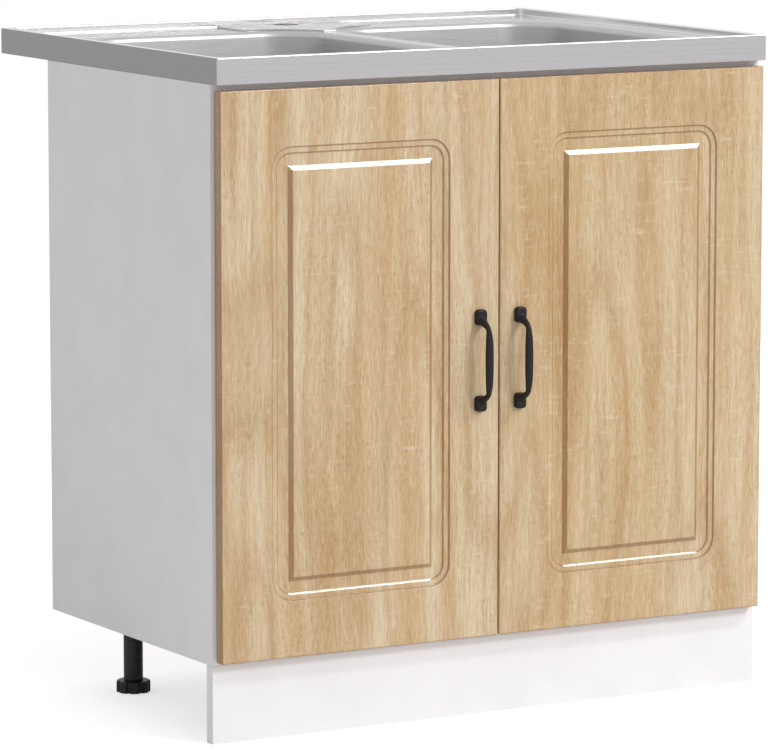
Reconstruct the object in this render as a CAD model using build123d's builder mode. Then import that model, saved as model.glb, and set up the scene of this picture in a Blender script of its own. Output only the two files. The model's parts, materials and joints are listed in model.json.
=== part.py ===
from build123d import *
import os
from math import atan2, degrees

# Sink base kitchen cabinet: a board carcass on levelling legs, two hinged doors with routed
# panels and bow handles, and a lay-on stainless sink with two bowls and basket wastes.
# Millimetres. X runs to the right, Y to the back, Z up. The origin is on the floor, in the
# middle of the width and of the depth from the handles' fronts to the sink's back edge.

# Boards
WIDTH = 800.0
CARCASS_DEPTH = 444.0
SIDE_HEIGHT = 717.0
BOARD = 16.0
BACK_BOARD = 3.0
GROOVE_DEPTH = 8.0
GROOVE_CLEARANCE = 0.2
FRONT_RAIL_HEIGHT = 100.0
REAR_RAIL_HEIGHT = 100.0
REAR_RAIL_DROP = 145.0
BACK_BOARD_LAP = 60.0
PLINTH_HEIGHT = 98.0
WALL_HOLE_SPACING = 600.0
WALL_HOLE_RADIUS = 3.0

# Cam and dowel joints between the boards
CAM_RADIUS = 7.5
CAM_HEIGHT = 12.5
CAM_DISTANCE = 24.0
CAM_BOLT_RADIUS = 3.0
CAM_BOLT_DEPTH = 11.0
DOWEL_RADIUS = 4.0
DOWEL_LENGTH = 30.0
DOWEL_DEPTH = 10.0
BORE_CLEARANCE = 0.1
BOTTOM_CAM_INSET = 60.0
BOTTOM_DOWEL_INSET = 120.0
RAIL_JOINT_OFFSET = 26.0

# Levelling legs
LEG_SIDE_INSET = 67.0
LEG_FRONT_INSET = 62.0
LEG_REAR_INSET = 99.0
LEG_RADIUS = 12.5
LEG_FLANGE_RADIUS = 30.0
LEG_FLANGE_THICK = 4.0
LEG_SCREW_PITCH_RADIUS = 23.0
FOOT_RADIUS = 22.0
FOOT_HEIGHT = 15.0
FOOT_ROUND = 2.5
FOOT_NOTCH_RADIUS = 3.0
FOOT_NOTCHES = 8
SPINDLE_RADIUS = 8.0
SPINDLE_LENGTH = 45.0
SPINDLE_BORE_EXTRA = 15.0
RUNNING_CLEARANCE = 0.05
PART_GAP = 0.3

# Plinth clips
CLIP_PLATE_WIDTH = 40.0
CLIP_PLATE_HEIGHT = 30.0
CLIP_WALL = 3.0
CLIP_HEIGHT = 20.0
CLIP_MOUTH = 18.0

# Screws
SCREW_RADIUS = 2.0
SCREW_HEAD_RADIUS = 3.6
SCREW_HEAD_HEIGHT = 1.5
SCREW_LENGTH = 11.0

# Doors
DOOR_THICK = 16.0
DOOR_SIDE_GAP = 4.0
DOOR_MIDDLE_GAP = 2.0
DOOR_TOP_GAP = 7.5
DOOR_BOTTOM_GAP = 4.5
DOOR_BACK_GAP = 2.0
DOOR_FRONT_ROUND = 3.0
DOOR_BACK_ROUND = 1.5
FRAME_INSET = 70.5
FIRST_STEP_RUN = 2.0
FIRST_STEP_DROP = 2.0
FIRST_STEP_CORNER = 28.0
LAND_WIDTH = 6.0
SECOND_STEP_RUN = 2.5
SECOND_STEP_DROP = 2.0
SECOND_STEP_CORNER = 20.0
FLOOR_WIDTH = 14.0
FIELD_BEVEL_RUN = 6.0
FIELD_HEIGHT = 4.0
BUMPER_RADIUS = 4.0
BUMPER_INSET = 30.0

# Handles
HANDLE_REACH = 28.0
HANDLE_LENGTH = 129.0
HANDLE_EDGE_INSET = 28.0
HANDLE_SCREW_SPACING = 96.0
HANDLE_SCREW_RADIUS = 2.0
HANDLE_SCREW_BITE = 5.0
PAD_WIDTH = 14.5
PAD_HEIGHT = 20.0
PAD_THICK = 7.0
PAD_CORNER = 5.0
PAD_ROUND = 2.0
GRIP_LENGTH = 76.0
GRIP_WIDTH = 11.5
GRIP_THICK = 7.0
GRIP_END_WIDTH = 6.0
GRIP_BOW = 2.0
ELBOW_RADIUS = 3.4
NECK_RADIUS = 2.8
ARM_ROOT_RADIUS = 4.2

# Hinges: the side distances count inward from the cabinet's outer face
HINGE_INSET = 130.0
CUP_RADIUS = 17.5
CUP_DEPTH = 13.0
CUP_WALL = 1.0
CUP_EDGE_DISTANCE = 3.0
CUP_FLANGE_HEIGHT = 54.0
CUP_FLANGE_LAP = 7.0
CUP_SCREW_SPACING = 45.0
CUP_SCREW_OFFSET = 9.5
PIVOT_SIDE = 10.5
PIVOT_DEPTH = 7.0
PIN_RADIUS = 1.0
PIN_LENGTH = 14.0
EYE_RADIUS = 2.0
EAR_DEPTH = 5.0
ARM_NECK_WIDTH = 5.0
ARM_NECK_THICK = 2.5
ARM_HOOK_REACH = 10.5
ARM_WIDTH = 13.0
ARM_LENGTH = 54.0
ARM_SETBACK = 8.0
PLATE_THICK = 2.5
PLATE_WING_HEIGHT = 48.0
PLATE_WING_WIDTH = 16.0
PLATE_SCREW_SETBACK = 37.0
PLATE_SCREW_SPACING = 32.0

# Sink
SINK_DEPTH = 600.0
SKIRT_HEIGHT = 33.0
SHEET = 1.0
SKIRT_CORNER = 5.0
RIM_WIDTH = 9.0
RIM_ROUND = 3.5
DECK_DROP = 9.5
DECK_CORNER = 12.0
FLANGE_WIDTH = 24.0
BOWL_SIDE_INSET = 51.5
BOWL_FRONT_INSET = 75.0
BOWL_REAR_INSET = 125.0
BOWL_WEB = 41.0
BOWL_OVERALL_DEPTH = 155.0
BOWL_CORNER = 65.0
BOWL_FLOOR_ROUND = 28.0
BOWL_DRAFT = 2.0
LIP_ROUND = 7.0
LIP_FLAT = 2.0
PLATFORM_WIDTH = 190.0
PLATFORM_RISE = 3.0
PLATFORM_BACK_INSET = 9.0
PLATFORM_TONGUE = 22.0
PLATFORM_MARGIN = 6.0
PLATFORM_CORNER = 14.0
TAP_HOLE_RADIUS = 17.5
TAP_BACK_INSET = 45.0

# Sink clips
SINK_CLIP_WIDTH = 20.0
SINK_CLIP_THICK = 2.0
SINK_CLIP_DROP = 45.0
SINK_CLIP_SCREW_DROP = 30.0
SINK_CLIP_DISTANCE = 90.0
SINK_CLIP_HOOK = 6.0

# Basket wastes
WASTE_HOLE_RADIUS = 45.0
WASTE_FLANGE_RADIUS = 57.0
WASTE_FLANGE_THICK = 1.5
WASTE_CUP_RADIUS = 43.0
WASTE_CUP_DEPTH = 44.0
WASTE_WALL = 2.0
OUTLET_RADIUS = 23.9
OUTLET_LENGTH = 24.0
GASKET_THICK = 2.5
NUT_RADIUS = 54.0
NUT_HEIGHT = 9.0
NUT_LUGS = 6
NUT_LUG_RADIUS = 5.0
BASKET_RADIUS = 40.0
BASKET_DEPTH = 34.0
BASKET_WALL = 1.0
BASKET_TAPER = 6.0
BASKET_HOLE_RADIUS = 2.5
BASKET_HOLES = 12
BASKET_RING_RADIUS = 20.0
STEM_RADIUS = 3.0
KNOB_RADIUS = 9.0
KNOB_HEIGHT = 5.0
STEM_TAIL = 9.0

# Planes that several pieces share
HALF = WIDTH / 2
INNER = HALF - BOARD
FRONT = -(SINK_DEPTH - HANDLE_REACH) / 2
DOOR_BACK = FRONT + DOOR_THICK
CARCASS_FRONT = DOOR_BACK + DOOR_BACK_GAP
CARCASS_BACK = CARCASS_FRONT + CARCASS_DEPTH
CARCASS_BOTTOM = PLINTH_HEIGHT
CARCASS_TOP = CARCASS_BOTTOM + SIDE_HEIGHT
FLOOR_TOP = CARCASS_BOTTOM + BOARD
RAIL_BOTTOM = CARCASS_TOP - FRONT_RAIL_HEIGHT
REAR_RAIL_TOP = CARCASS_TOP - REAR_RAIL_DROP
REAR_RAIL_BOTTOM = REAR_RAIL_TOP - REAR_RAIL_HEIGHT
REAR_RAIL_FACE = CARCASS_BACK - BOARD
BACK_FACE = REAR_RAIL_FACE - BACK_BOARD
BACK_TOP = REAR_RAIL_BOTTOM + BACK_BOARD_LAP
GROOVE_BOTTOM = FLOOR_TOP - GROOVE_DEPTH

DOOR_WIDTH = HALF - DOOR_SIDE_GAP - DOOR_MIDDLE_GAP / 2
DOOR_BOTTOM = CARCASS_BOTTOM + DOOR_BOTTOM_GAP
DOOR_TOP = CARCASS_TOP - DOOR_TOP_GAP
DOOR_HEIGHT = DOOR_TOP - DOOR_BOTTOM
DOOR_X = (DOOR_WIDTH + DOOR_MIDDLE_GAP) / 2
DOOR_Z = (DOOR_BOTTOM + DOOR_TOP) / 2
HANDLE_X = DOOR_MIDDLE_GAP / 2 + HANDLE_EDGE_INSET

SINK_BACK = FRONT + SINK_DEPTH
SINK_Y = FRONT + SINK_DEPTH / 2
SINK_TOP = CARCASS_TOP + SKIRT_HEIGHT
DECK_TOP = SINK_TOP - DECK_DROP
BOWL_WIDTH = HALF - BOWL_SIDE_INSET - BOWL_WEB / 2
BOWL_LENGTH = SINK_DEPTH - BOWL_FRONT_INSET - BOWL_REAR_INSET
BOWL_X = (BOWL_WIDTH + BOWL_WEB) / 2
BOWL_Y = FRONT + BOWL_FRONT_INSET + BOWL_LENGTH / 2
BOWL_UNDERSIDE = SINK_TOP - BOWL_OVERALL_DEPTH
BOWL_FLOOR = BOWL_UNDERSIDE + SHEET
LIP_WIDTH = LIP_ROUND + LIP_FLAT
LIP_UNDERSIDE = DECK_TOP - SHEET

SIDES = {"left": -1, "right": 1}
UPRIGHT = (Align.CENTER, Align.CENTER, Align.MIN)


def span(sign, near, far):
    """Returns the X limits of a stretch that lies near to far from the middle, on one side."""
    return tuple(sorted((sign * near, sign * far)))


def block(x, y, z, mode=Mode.ADD):
    """Adds or cuts a block, given its low and high limits on each axis."""
    with Locations(((x[0] + x[1]) / 2, (y[0] + y[1]) / 2, (z[0] + z[1]) / 2)):
        Box(x[1] - x[0], y[1] - y[0], z[1] - z[0], mode=mode)


def rod(start, end, radius, mode=Mode.ADD):
    """Adds a round bar, or cuts a round hole, from one point to another."""
    run = Vector(end) - Vector(start)
    with Locations(Plane(start, z_dir=run)):
        Cylinder(radius, run.length, align=UPRIGHT, mode=mode)


def screw(point, direction, length=SCREW_LENGTH):
    """Adds a screw whose head's underside is at the point, with its shank along the direction."""
    way = Vector(direction)
    seat = Vector(point)
    rod(seat, seat + way * length, SCREW_RADIUS)
    rod(seat, seat - way * SCREW_HEAD_HEIGHT, SCREW_HEAD_RADIUS)


def screw_hole(point, direction, length=SCREW_LENGTH):
    """Cuts the hole that a screw's shank fills."""
    seat = Vector(point)
    end = seat + Vector(direction) * (length + BORE_CLEARANCE)
    rod(seat, end, SCREW_RADIUS + BORE_CLEARANCE, Mode.SUBTRACT)


def save(builder, name):
    """Labels a finished piece and writes it to its own file."""
    builder.part.label = name
    export_step(builder.part, f"parts/{name}.step")


os.makedirs("parts", exist_ok=True)

# Joint points of each board that spans the two sides: Y, Z, and the way the cam pocket opens
BOTTOM_MIDDLE = CARCASS_BOTTOM + BOARD / 2
FRONT_RAIL_Y = CARCASS_FRONT + BOARD / 2
REAR_RAIL_Y = CARCASS_BACK - BOARD / 2
FRONT_RAIL_Z = (RAIL_BOTTOM + CARCASS_TOP) / 2
REAR_RAIL_Z = (REAR_RAIL_BOTTOM + REAR_RAIL_TOP) / 2
BOTTOM_CAMS = [
    (CARCASS_FRONT + BOTTOM_CAM_INSET, BOTTOM_MIDDLE),
    (CARCASS_BACK - BOTTOM_CAM_INSET, BOTTOM_MIDDLE),
]
BOTTOM_DOWELS = [
    (CARCASS_FRONT + BOTTOM_DOWEL_INSET, BOTTOM_MIDDLE),
    (CARCASS_BACK - BOTTOM_DOWEL_INSET, BOTTOM_MIDDLE),
]
FRONT_RAIL_CAMS = [(FRONT_RAIL_Y, FRONT_RAIL_Z + RAIL_JOINT_OFFSET)]
FRONT_RAIL_DOWELS = [(FRONT_RAIL_Y, FRONT_RAIL_Z - RAIL_JOINT_OFFSET)]
REAR_RAIL_CAMS = [(REAR_RAIL_Y, REAR_RAIL_Z + RAIL_JOINT_OFFSET)]
REAR_RAIL_DOWELS = [(REAR_RAIL_Y, REAR_RAIL_Z - RAIL_JOINT_OFFSET)]
CAM_JOINTS = (
    [(y, z, (0, 0, -1)) for y, z in BOTTOM_CAMS]
    + [(y, z, (0, 1, 0)) for y, z in FRONT_RAIL_CAMS]
    + [(y, z, (0, -1, 0)) for y, z in REAR_RAIL_CAMS]
)
DOWEL_JOINTS = BOTTOM_DOWELS + FRONT_RAIL_DOWELS + REAR_RAIL_DOWELS
CAM_X = INNER - CAM_DISTANCE


def cam_mouth(sign, y, z, way):
    """Returns the centre of a cam's outer face, on the board face that its pocket opens in."""
    return Vector(sign * CAM_X, y, z) + Vector(way) * (BOARD / 2)


def cut_board_joints(cams, dowels):
    """Cuts the cam pockets, bolt bores and dowel holes in both ends of a board."""
    for sign in SIDES.values():
        for y, z, way in cams:
            mouth = cam_mouth(sign, y, z, way)
            rod(mouth, mouth - Vector(way) * CAM_HEIGHT, CAM_RADIUS + BORE_CLEARANCE, Mode.SUBTRACT)
            bore = CAM_BOLT_RADIUS + BORE_CLEARANCE
            rod((sign * INNER, y, z), (sign * CAM_X, y, z), bore, Mode.SUBTRACT)
        for y, z in dowels:
            inner_end = INNER - (DOWEL_LENGTH - DOWEL_DEPTH) - BORE_CLEARANCE
            hole = DOWEL_RADIUS + BORE_CLEARANCE
            rod((sign * INNER, y, z), (sign * inner_end, y, z), hole, Mode.SUBTRACT)


# Hinge heights, and the hinge's plan, measured inward from the cabinet's outer face
HINGE_HEIGHTS = {"lower": DOOR_BOTTOM + HINGE_INSET, "upper": DOOR_TOP - HINGE_INSET}
PIVOT_Y = FRONT + PIVOT_DEPTH
CUP_SIDE = DOOR_SIDE_GAP + CUP_EDGE_DISTANCE + CUP_RADIUS
CUP_FLOOR_Y = DOOR_BACK - CUP_DEPTH
CUP_BORE_RADIUS = CUP_RADIUS - CUP_WALL
PLATE_SCREW_Y = CARCASS_FRONT + PLATE_SCREW_SETBACK
ARM_FRONT = CARCASS_FRONT + ARM_SETBACK
ARM_BACK = ARM_FRONT + ARM_LENGTH
ARM_HOOK_SIDE = PIVOT_SIDE + ARM_HOOK_REACH
ARM_OUTER_SIDE = ARM_HOOK_SIDE + ARM_NECK_THICK
PLATE_SIDE = BOARD + PLATE_THICK
CUP_SCREW_SIDE = CUP_SIDE + CUP_SCREW_OFFSET


def plate_screw_points(sign):
    """Returns where the mounting plate screws of one side enter the side panel's inner face."""
    points = []
    for height in HINGE_HEIGHTS.values():
        for offset in (-PLATE_SCREW_SPACING / 2, PLATE_SCREW_SPACING / 2):
            points.append((sign * INNER, PLATE_SCREW_Y, height + offset))
    return points


# Sink clip places, on the inner faces of the side panels
SINK_CLIP_YS = (CARCASS_FRONT + SINK_CLIP_DISTANCE, CARCASS_BACK - SINK_CLIP_DISTANCE)
SINK_CLIP_BOTTOM = CARCASS_TOP - SINK_CLIP_DROP
SINK_CLIP_SCREW_Z = CARCASS_TOP - SINK_CLIP_SCREW_DROP

# Side panels
for side, sign in SIDES.items():
    with BuildPart() as side_panel:
        block(span(sign, INNER, HALF), (CARCASS_FRONT, CARCASS_BACK), (CARCASS_BOTTOM, CARCASS_TOP))
        block(
            span(sign, INNER, INNER + GROOVE_DEPTH),
            (BACK_FACE - GROOVE_CLEARANCE, REAR_RAIL_FACE),
            (GROOVE_BOTTOM, BACK_TOP),
            Mode.SUBTRACT,
        )
        for y, z, way in CAM_JOINTS:
            bolt_end = INNER + CAM_BOLT_DEPTH + BORE_CLEARANCE
            bolt_hole = CAM_BOLT_RADIUS + BORE_CLEARANCE
            rod((sign * INNER, y, z), (sign * bolt_end, y, z), bolt_hole, Mode.SUBTRACT)
        for y, z in DOWEL_JOINTS:
            dowel_end = INNER + DOWEL_DEPTH + BORE_CLEARANCE
            dowel_hole = DOWEL_RADIUS + BORE_CLEARANCE
            rod((sign * INNER, y, z), (sign * dowel_end, y, z), dowel_hole, Mode.SUBTRACT)
        for point in plate_screw_points(sign):
            screw_hole(point, (sign, 0, 0), SCREW_LENGTH - PLATE_THICK)
        for y in SINK_CLIP_YS:
            clip_screw = (sign * INNER, y, SINK_CLIP_SCREW_Z)
            screw_hole(clip_screw, (sign, 0, 0), SCREW_LENGTH - SINK_CLIP_THICK)
    save(side_panel, f"side_panel_{side}")

# Bottom panel, with the pilot holes of the leg screws
LEG_X = HALF - LEG_SIDE_INSET
LEG_YS = {"front": CARCASS_FRONT + LEG_FRONT_INSET, "rear": CARCASS_BACK - LEG_REAR_INSET}
LEG_PLACES = {
    f"{row}_{side}": (sign * LEG_X, y) for row, y in LEG_YS.items() for side, sign in SIDES.items()
}
FLANGE_UNDERSIDE = CARCASS_BOTTOM - LEG_FLANGE_THICK
LEG_SCREW_OFFSET = LEG_SCREW_PITCH_RADIUS / 2**0.5
LEG_SCREW_POINTS = [
    (x + dx, y + dy, FLANGE_UNDERSIDE)
    for x, y in LEG_PLACES.values()
    for dx in (-LEG_SCREW_OFFSET, LEG_SCREW_OFFSET)
    for dy in (-LEG_SCREW_OFFSET, LEG_SCREW_OFFSET)
]
with BuildPart() as bottom_panel:
    block((-INNER, INNER), (CARCASS_FRONT, CARCASS_BACK), (CARCASS_BOTTOM, FLOOR_TOP))
    block(
        (-INNER, INNER),
        (BACK_FACE - GROOVE_CLEARANCE, REAR_RAIL_FACE),
        (GROOVE_BOTTOM, FLOOR_TOP),
        Mode.SUBTRACT,
    )
    cut_board_joints([(y, z, (0, 0, -1)) for y, z in BOTTOM_CAMS], BOTTOM_DOWELS)
    for point in LEG_SCREW_POINTS:
        screw_hole(point, (0, 0, 1))
save(bottom_panel, "bottom_panel")

# Front rail under the sink's front edge
with BuildPart() as front_rail:
    block((-INNER, INNER), (CARCASS_FRONT, CARCASS_FRONT + BOARD), (RAIL_BOTTOM, CARCASS_TOP))
    cut_board_joints([(y, z, (0, 1, 0)) for y, z in FRONT_RAIL_CAMS], FRONT_RAIL_DOWELS)
save(front_rail, "front_rail")

# Rear rail, low enough for the bowls to pass over it, with the wall fixing holes
with BuildPart() as rear_rail:
    block((-INNER, INNER), (REAR_RAIL_FACE, CARCASS_BACK), (REAR_RAIL_BOTTOM, REAR_RAIL_TOP))
    cut_board_joints([(y, z, (0, -1, 0)) for y, z in REAR_RAIL_CAMS], REAR_RAIL_DOWELS)
    for x in (-WALL_HOLE_SPACING / 2, WALL_HOLE_SPACING / 2):
        wall_z = REAR_RAIL_Z + RAIL_JOINT_OFFSET
        rod((x, REAR_RAIL_FACE, wall_z), (x, CARCASS_BACK, wall_z), WALL_HOLE_RADIUS, Mode.SUBTRACT)
save(rear_rail, "rear_rail")

# Thin back panel, in the grooves of the sides and the bottom
with BuildPart() as back_panel:
    reach = INNER + GROOVE_DEPTH - GROOVE_CLEARANCE
    block((-reach, reach), (BACK_FACE, REAR_RAIL_FACE), (GROOVE_BOTTOM, BACK_TOP))
save(back_panel, "back_panel")

# Plinth board
with BuildPart() as plinth:
    block((-HALF, HALF), (CARCASS_FRONT, CARCASS_FRONT + BOARD), (0, PLINTH_HEIGHT))
save(plinth, "plinth")

# Cam bolts, cam locks and dowels
with BuildPart() as cam_bolts:
    for sign in SIDES.values():
        for y, z, way in CAM_JOINTS:
            rod((sign * (INNER + CAM_BOLT_DEPTH), y, z), (sign * CAM_X, y, z), CAM_BOLT_RADIUS)
save(cam_bolts, "cam_bolts")

with BuildPart() as cam_locks:
    for sign in SIDES.values():
        for y, z, way in CAM_JOINTS:
            mouth = cam_mouth(sign, y, z, way)
            rod(mouth, mouth - Vector(way) * CAM_HEIGHT, CAM_RADIUS)
    for sign in SIDES.values():
        for y, z, way in CAM_JOINTS:
            slot_end = CAM_X + CAM_RADIUS + BORE_CLEARANCE
            slot_radius = CAM_BOLT_RADIUS + BORE_CLEARANCE
            rod((sign * slot_end, y, z), (sign * CAM_X, y, z), slot_radius, Mode.SUBTRACT)
save(cam_locks, "cam_locks")

with BuildPart() as dowels:
    for sign in SIDES.values():
        for y, z in DOWEL_JOINTS:
            outer_end = INNER + DOWEL_DEPTH
            rod((sign * outer_end, y, z), (sign * (outer_end - DOWEL_LENGTH), y, z), DOWEL_RADIUS)
save(dowels, "dowels")

# Levelling legs: a socket screwed under the bottom panel and a foot that turns in it
SOCKET_BOTTOM = FOOT_HEIGHT + PART_GAP
for place, (x, y) in LEG_PLACES.items():
    with BuildPart() as leg_socket:
        rod((x, y, CARCASS_BOTTOM), (x, y, FLANGE_UNDERSIDE), LEG_FLANGE_RADIUS)
        rod((x, y, FLANGE_UNDERSIDE), (x, y, SOCKET_BOTTOM), LEG_RADIUS)
        bore_top = FOOT_HEIGHT + SPINDLE_LENGTH + SPINDLE_BORE_EXTRA
        rod((x, y, SOCKET_BOTTOM), (x, y, bore_top), SPINDLE_RADIUS + RUNNING_CLEARANCE, Mode.SUBTRACT)
        for hole_x, hole_y, hole_z in LEG_SCREW_POINTS:
            if abs(hole_x - x) < LEG_FLANGE_RADIUS and abs(hole_y - y) < LEG_FLANGE_RADIUS:
                screw_hole((hole_x, hole_y, hole_z), (0, 0, 1), LEG_FLANGE_THICK)
    save(leg_socket, f"leg_socket_{place}")

    with BuildPart() as foot:
        rod((x, y, 0), (x, y, FOOT_HEIGHT), FOOT_RADIUS)
        fillet(foot.edges().filter_by(GeomType.CIRCLE).group_by(Axis.Z)[-1], FOOT_ROUND)
        with Locations((x, y, 0)):
            with PolarLocations(FOOT_RADIUS, FOOT_NOTCHES):
                Cylinder(FOOT_NOTCH_RADIUS, FOOT_HEIGHT, align=UPRIGHT, mode=Mode.SUBTRACT)
        rod((x, y, FOOT_HEIGHT), (x, y, FOOT_HEIGHT + SPINDLE_LENGTH), SPINDLE_RADIUS)
    save(foot, f"foot_{place}")

with BuildPart() as leg_screws:
    for point in LEG_SCREW_POINTS:
        screw(point, (0, 0, 1))
save(leg_screws, "leg_screws")

# Plinth clips: a plate on the plinth's back with a spring ring round the front leg
PLINTH_BACK = CARCASS_FRONT + BOARD
CLIP_Z = PLINTH_HEIGHT / 2
with BuildPart() as plinth_clips:
    for sign in SIDES.values():
        x = sign * LEG_X
        y = LEG_YS["front"]
        low = CLIP_Z - CLIP_HEIGHT / 2
        high = CLIP_Z + CLIP_HEIGHT / 2
        block(
            (x - CLIP_PLATE_WIDTH / 2, x + CLIP_PLATE_WIDTH / 2),
            (PLINTH_BACK, PLINTH_BACK + CLIP_WALL),
            (CLIP_Z - CLIP_PLATE_HEIGHT / 2, CLIP_Z + CLIP_PLATE_HEIGHT / 2),
        )
        block((x - CLIP_WALL, x + CLIP_WALL), (PLINTH_BACK + CLIP_WALL, y - LEG_RADIUS), (low, high))
        rod((x, y, low), (x, y, high), LEG_RADIUS + CLIP_WALL)
        rod((x, y, low), (x, y, high), LEG_RADIUS + BORE_CLEARANCE, Mode.SUBTRACT)
        mouth_end = y + LEG_RADIUS + CLIP_WALL + BORE_CLEARANCE
        block((x - CLIP_MOUTH / 2, x + CLIP_MOUTH / 2), (y, mouth_end), (low, high), Mode.SUBTRACT)
save(plinth_clips, "plinth_clips")

# Doors: a slab with two routed steps round a recess, and a raised field in it
FIELD_INSET = FRAME_INSET + FIRST_STEP_RUN + LAND_WIDTH + SECOND_STEP_RUN + FLOOR_WIDTH
SECOND_INSET = FRAME_INSET + FIRST_STEP_RUN + LAND_WIDTH
RECESS = FIRST_STEP_DROP + SECOND_STEP_DROP
HANDLE_SCREW_ZS = (DOOR_Z - HANDLE_SCREW_SPACING / 2, DOOR_Z + HANDLE_SCREW_SPACING / 2)


def door_plane(sign, depth):
    """Returns the plane at a depth behind a door's front, centred on it and facing forward."""
    return Plane((sign * DOOR_X, FRONT + depth, DOOR_Z), x_dir=(1, 0, 0), z_dir=(0, -1, 0))


def slope(run, drop):
    """Returns the taper, in degrees, of a step that moves in by run over a height of drop."""
    return degrees(atan2(run, drop))


def cup_screw_points(sign):
    """Returns where the hinge cup screws of one door enter its back face."""
    points = []
    for height in HINGE_HEIGHTS.values():
        for offset in (-CUP_SCREW_SPACING / 2, CUP_SCREW_SPACING / 2):
            points.append((sign * (HALF - CUP_SCREW_SIDE), DOOR_BACK, height + offset))
    return points


for side, sign in SIDES.items():
    with BuildPart() as door:
        with BuildSketch(door_plane(sign, 0)):
            Rectangle(DOOR_WIDTH, DOOR_HEIGHT)
        extrude(amount=-DOOR_THICK)
        fillet(door.edges().group_by(Axis.Y)[0], DOOR_FRONT_ROUND)
        fillet(door.edges().group_by(Axis.Y)[-1], DOOR_BACK_ROUND)
        with BuildSketch(door_plane(sign, 0)):
            first_size = (DOOR_WIDTH - 2 * FRAME_INSET, DOOR_HEIGHT - 2 * FRAME_INSET)
            RectangleRounded(*first_size, FIRST_STEP_CORNER)
        first_taper = slope(FIRST_STEP_RUN, FIRST_STEP_DROP)
        extrude(amount=-FIRST_STEP_DROP, taper=first_taper, mode=Mode.SUBTRACT)
        with BuildSketch(door_plane(sign, FIRST_STEP_DROP)):
            second_size = (DOOR_WIDTH - 2 * SECOND_INSET, DOOR_HEIGHT - 2 * SECOND_INSET)
            RectangleRounded(*second_size, SECOND_STEP_CORNER)
        second_taper = slope(SECOND_STEP_RUN, SECOND_STEP_DROP)
        extrude(amount=-SECOND_STEP_DROP, taper=second_taper, mode=Mode.SUBTRACT)
        with BuildSketch(door_plane(sign, RECESS)):
            Rectangle(DOOR_WIDTH - 2 * FIELD_INSET, DOOR_HEIGHT - 2 * FIELD_INSET)
        extrude(amount=FIELD_HEIGHT, taper=slope(FIELD_BEVEL_RUN, FIELD_HEIGHT))
        for height in HINGE_HEIGHTS.values():
            cup_x = sign * (HALF - CUP_SIDE)
            cup_bore = CUP_RADIUS + BORE_CLEARANCE
            rod((cup_x, DOOR_BACK, height), (cup_x, CUP_FLOOR_Y, height), cup_bore, Mode.SUBTRACT)
        for point in cup_screw_points(sign):
            screw_hole(point, (0, -1, 0), SCREW_LENGTH - CUP_WALL)
        for z in HANDLE_SCREW_ZS:
            bore = HANDLE_SCREW_RADIUS + BORE_CLEARANCE
            rod((sign * HANDLE_X, FRONT, z), (sign * HANDLE_X, DOOR_BACK, z), bore, Mode.SUBTRACT)
    save(door, f"door_{side}")

# Bumpers on the back of each door, in front of the front rail and the bottom panel
BUMPER_THICK = DOOR_BACK_GAP - PART_GAP
BUMPER_ZS = (DOOR_BOTTOM + DOOR_BACK_ROUND + BUMPER_RADIUS, DOOR_TOP - BUMPER_INSET)
for side, sign in SIDES.items():
    with BuildPart() as bumpers:
        for z in BUMPER_ZS:
            x = sign * (DOOR_MIDDLE_GAP / 2 + BUMPER_INSET)
            rod((x, DOOR_BACK, z), (x, DOOR_BACK + BUMPER_THICK, z), BUMPER_RADIUS)
    save(bumpers, f"door_bumpers_{side}")

# Bow handles: two rounded pads, an arm out of each, and a grip that swells towards its middle
GRIP_DEPTH = HANDLE_REACH - GRIP_THICK / 2
PAD_Z = (HANDLE_LENGTH - PAD_HEIGHT) / 2
ARM_ROOT_Z = PAD_Z - PAD_HEIGHT / 2 + ARM_ROOT_RADIUS
for side, sign in SIDES.items():
    x = sign * HANDLE_X
    with BuildPart() as handle:
        pad_places = [(0, -PAD_Z), (0, PAD_Z)]
        with BuildSketch(Plane((x, FRONT, DOOR_Z), x_dir=(1, 0, 0), z_dir=(0, -1, 0))):
            with Locations(*pad_places):
                RectangleRounded(PAD_WIDTH, PAD_HEIGHT, PAD_CORNER)
        extrude(amount=PAD_THICK)
        fillet(handle.faces().filter_by(Axis.Y).group_by(Axis.Y)[0].edges(), PAD_ROUND)
        for end in (-1, 1):
            elbow = Vector(x, FRONT - GRIP_DEPTH + GRIP_BOW, DOOR_Z + end * GRIP_LENGTH / 2)
            root = Vector(x, FRONT - PAD_THICK / 2, DOOR_Z + end * ARM_ROOT_Z)
            with Locations(elbow):
                Sphere(ELBOW_RADIUS)
            with Locations(Plane(elbow, z_dir=root - elbow)):
                Cone(NECK_RADIUS, ARM_ROOT_RADIUS, (root - elbow).length, align=UPRIGHT)
        for up, width, thick, back in (
            (-GRIP_LENGTH / 2, GRIP_END_WIDTH, GRIP_END_WIDTH, GRIP_BOW),
            (0, GRIP_WIDTH, GRIP_THICK, 0),
            (GRIP_LENGTH / 2, GRIP_END_WIDTH, GRIP_END_WIDTH, GRIP_BOW),
        ):
            with BuildSketch(Plane((x, FRONT - GRIP_DEPTH + back, DOOR_Z + up))):
                Ellipse(width / 2, thick / 2)
        loft()
        for z in HANDLE_SCREW_ZS:
            bore = HANDLE_SCREW_RADIUS + BORE_CLEARANCE
            rod((x, FRONT, z), (x, FRONT - HANDLE_SCREW_BITE - BORE_CLEARANCE, z), bore, Mode.SUBTRACT)
    save(handle, f"handle_{side}")

    with BuildPart() as handle_screws:
        for z in HANDLE_SCREW_ZS:
            rod((x, DOOR_BACK, z), (x, FRONT - HANDLE_SCREW_BITE, z), HANDLE_SCREW_RADIUS)
            rod((x, DOOR_BACK, z), (x, DOOR_BACK + SCREW_HEAD_HEIGHT, z), SCREW_HEAD_RADIUS)
    save(handle_screws, f"handle_screws_{side}")

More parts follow.
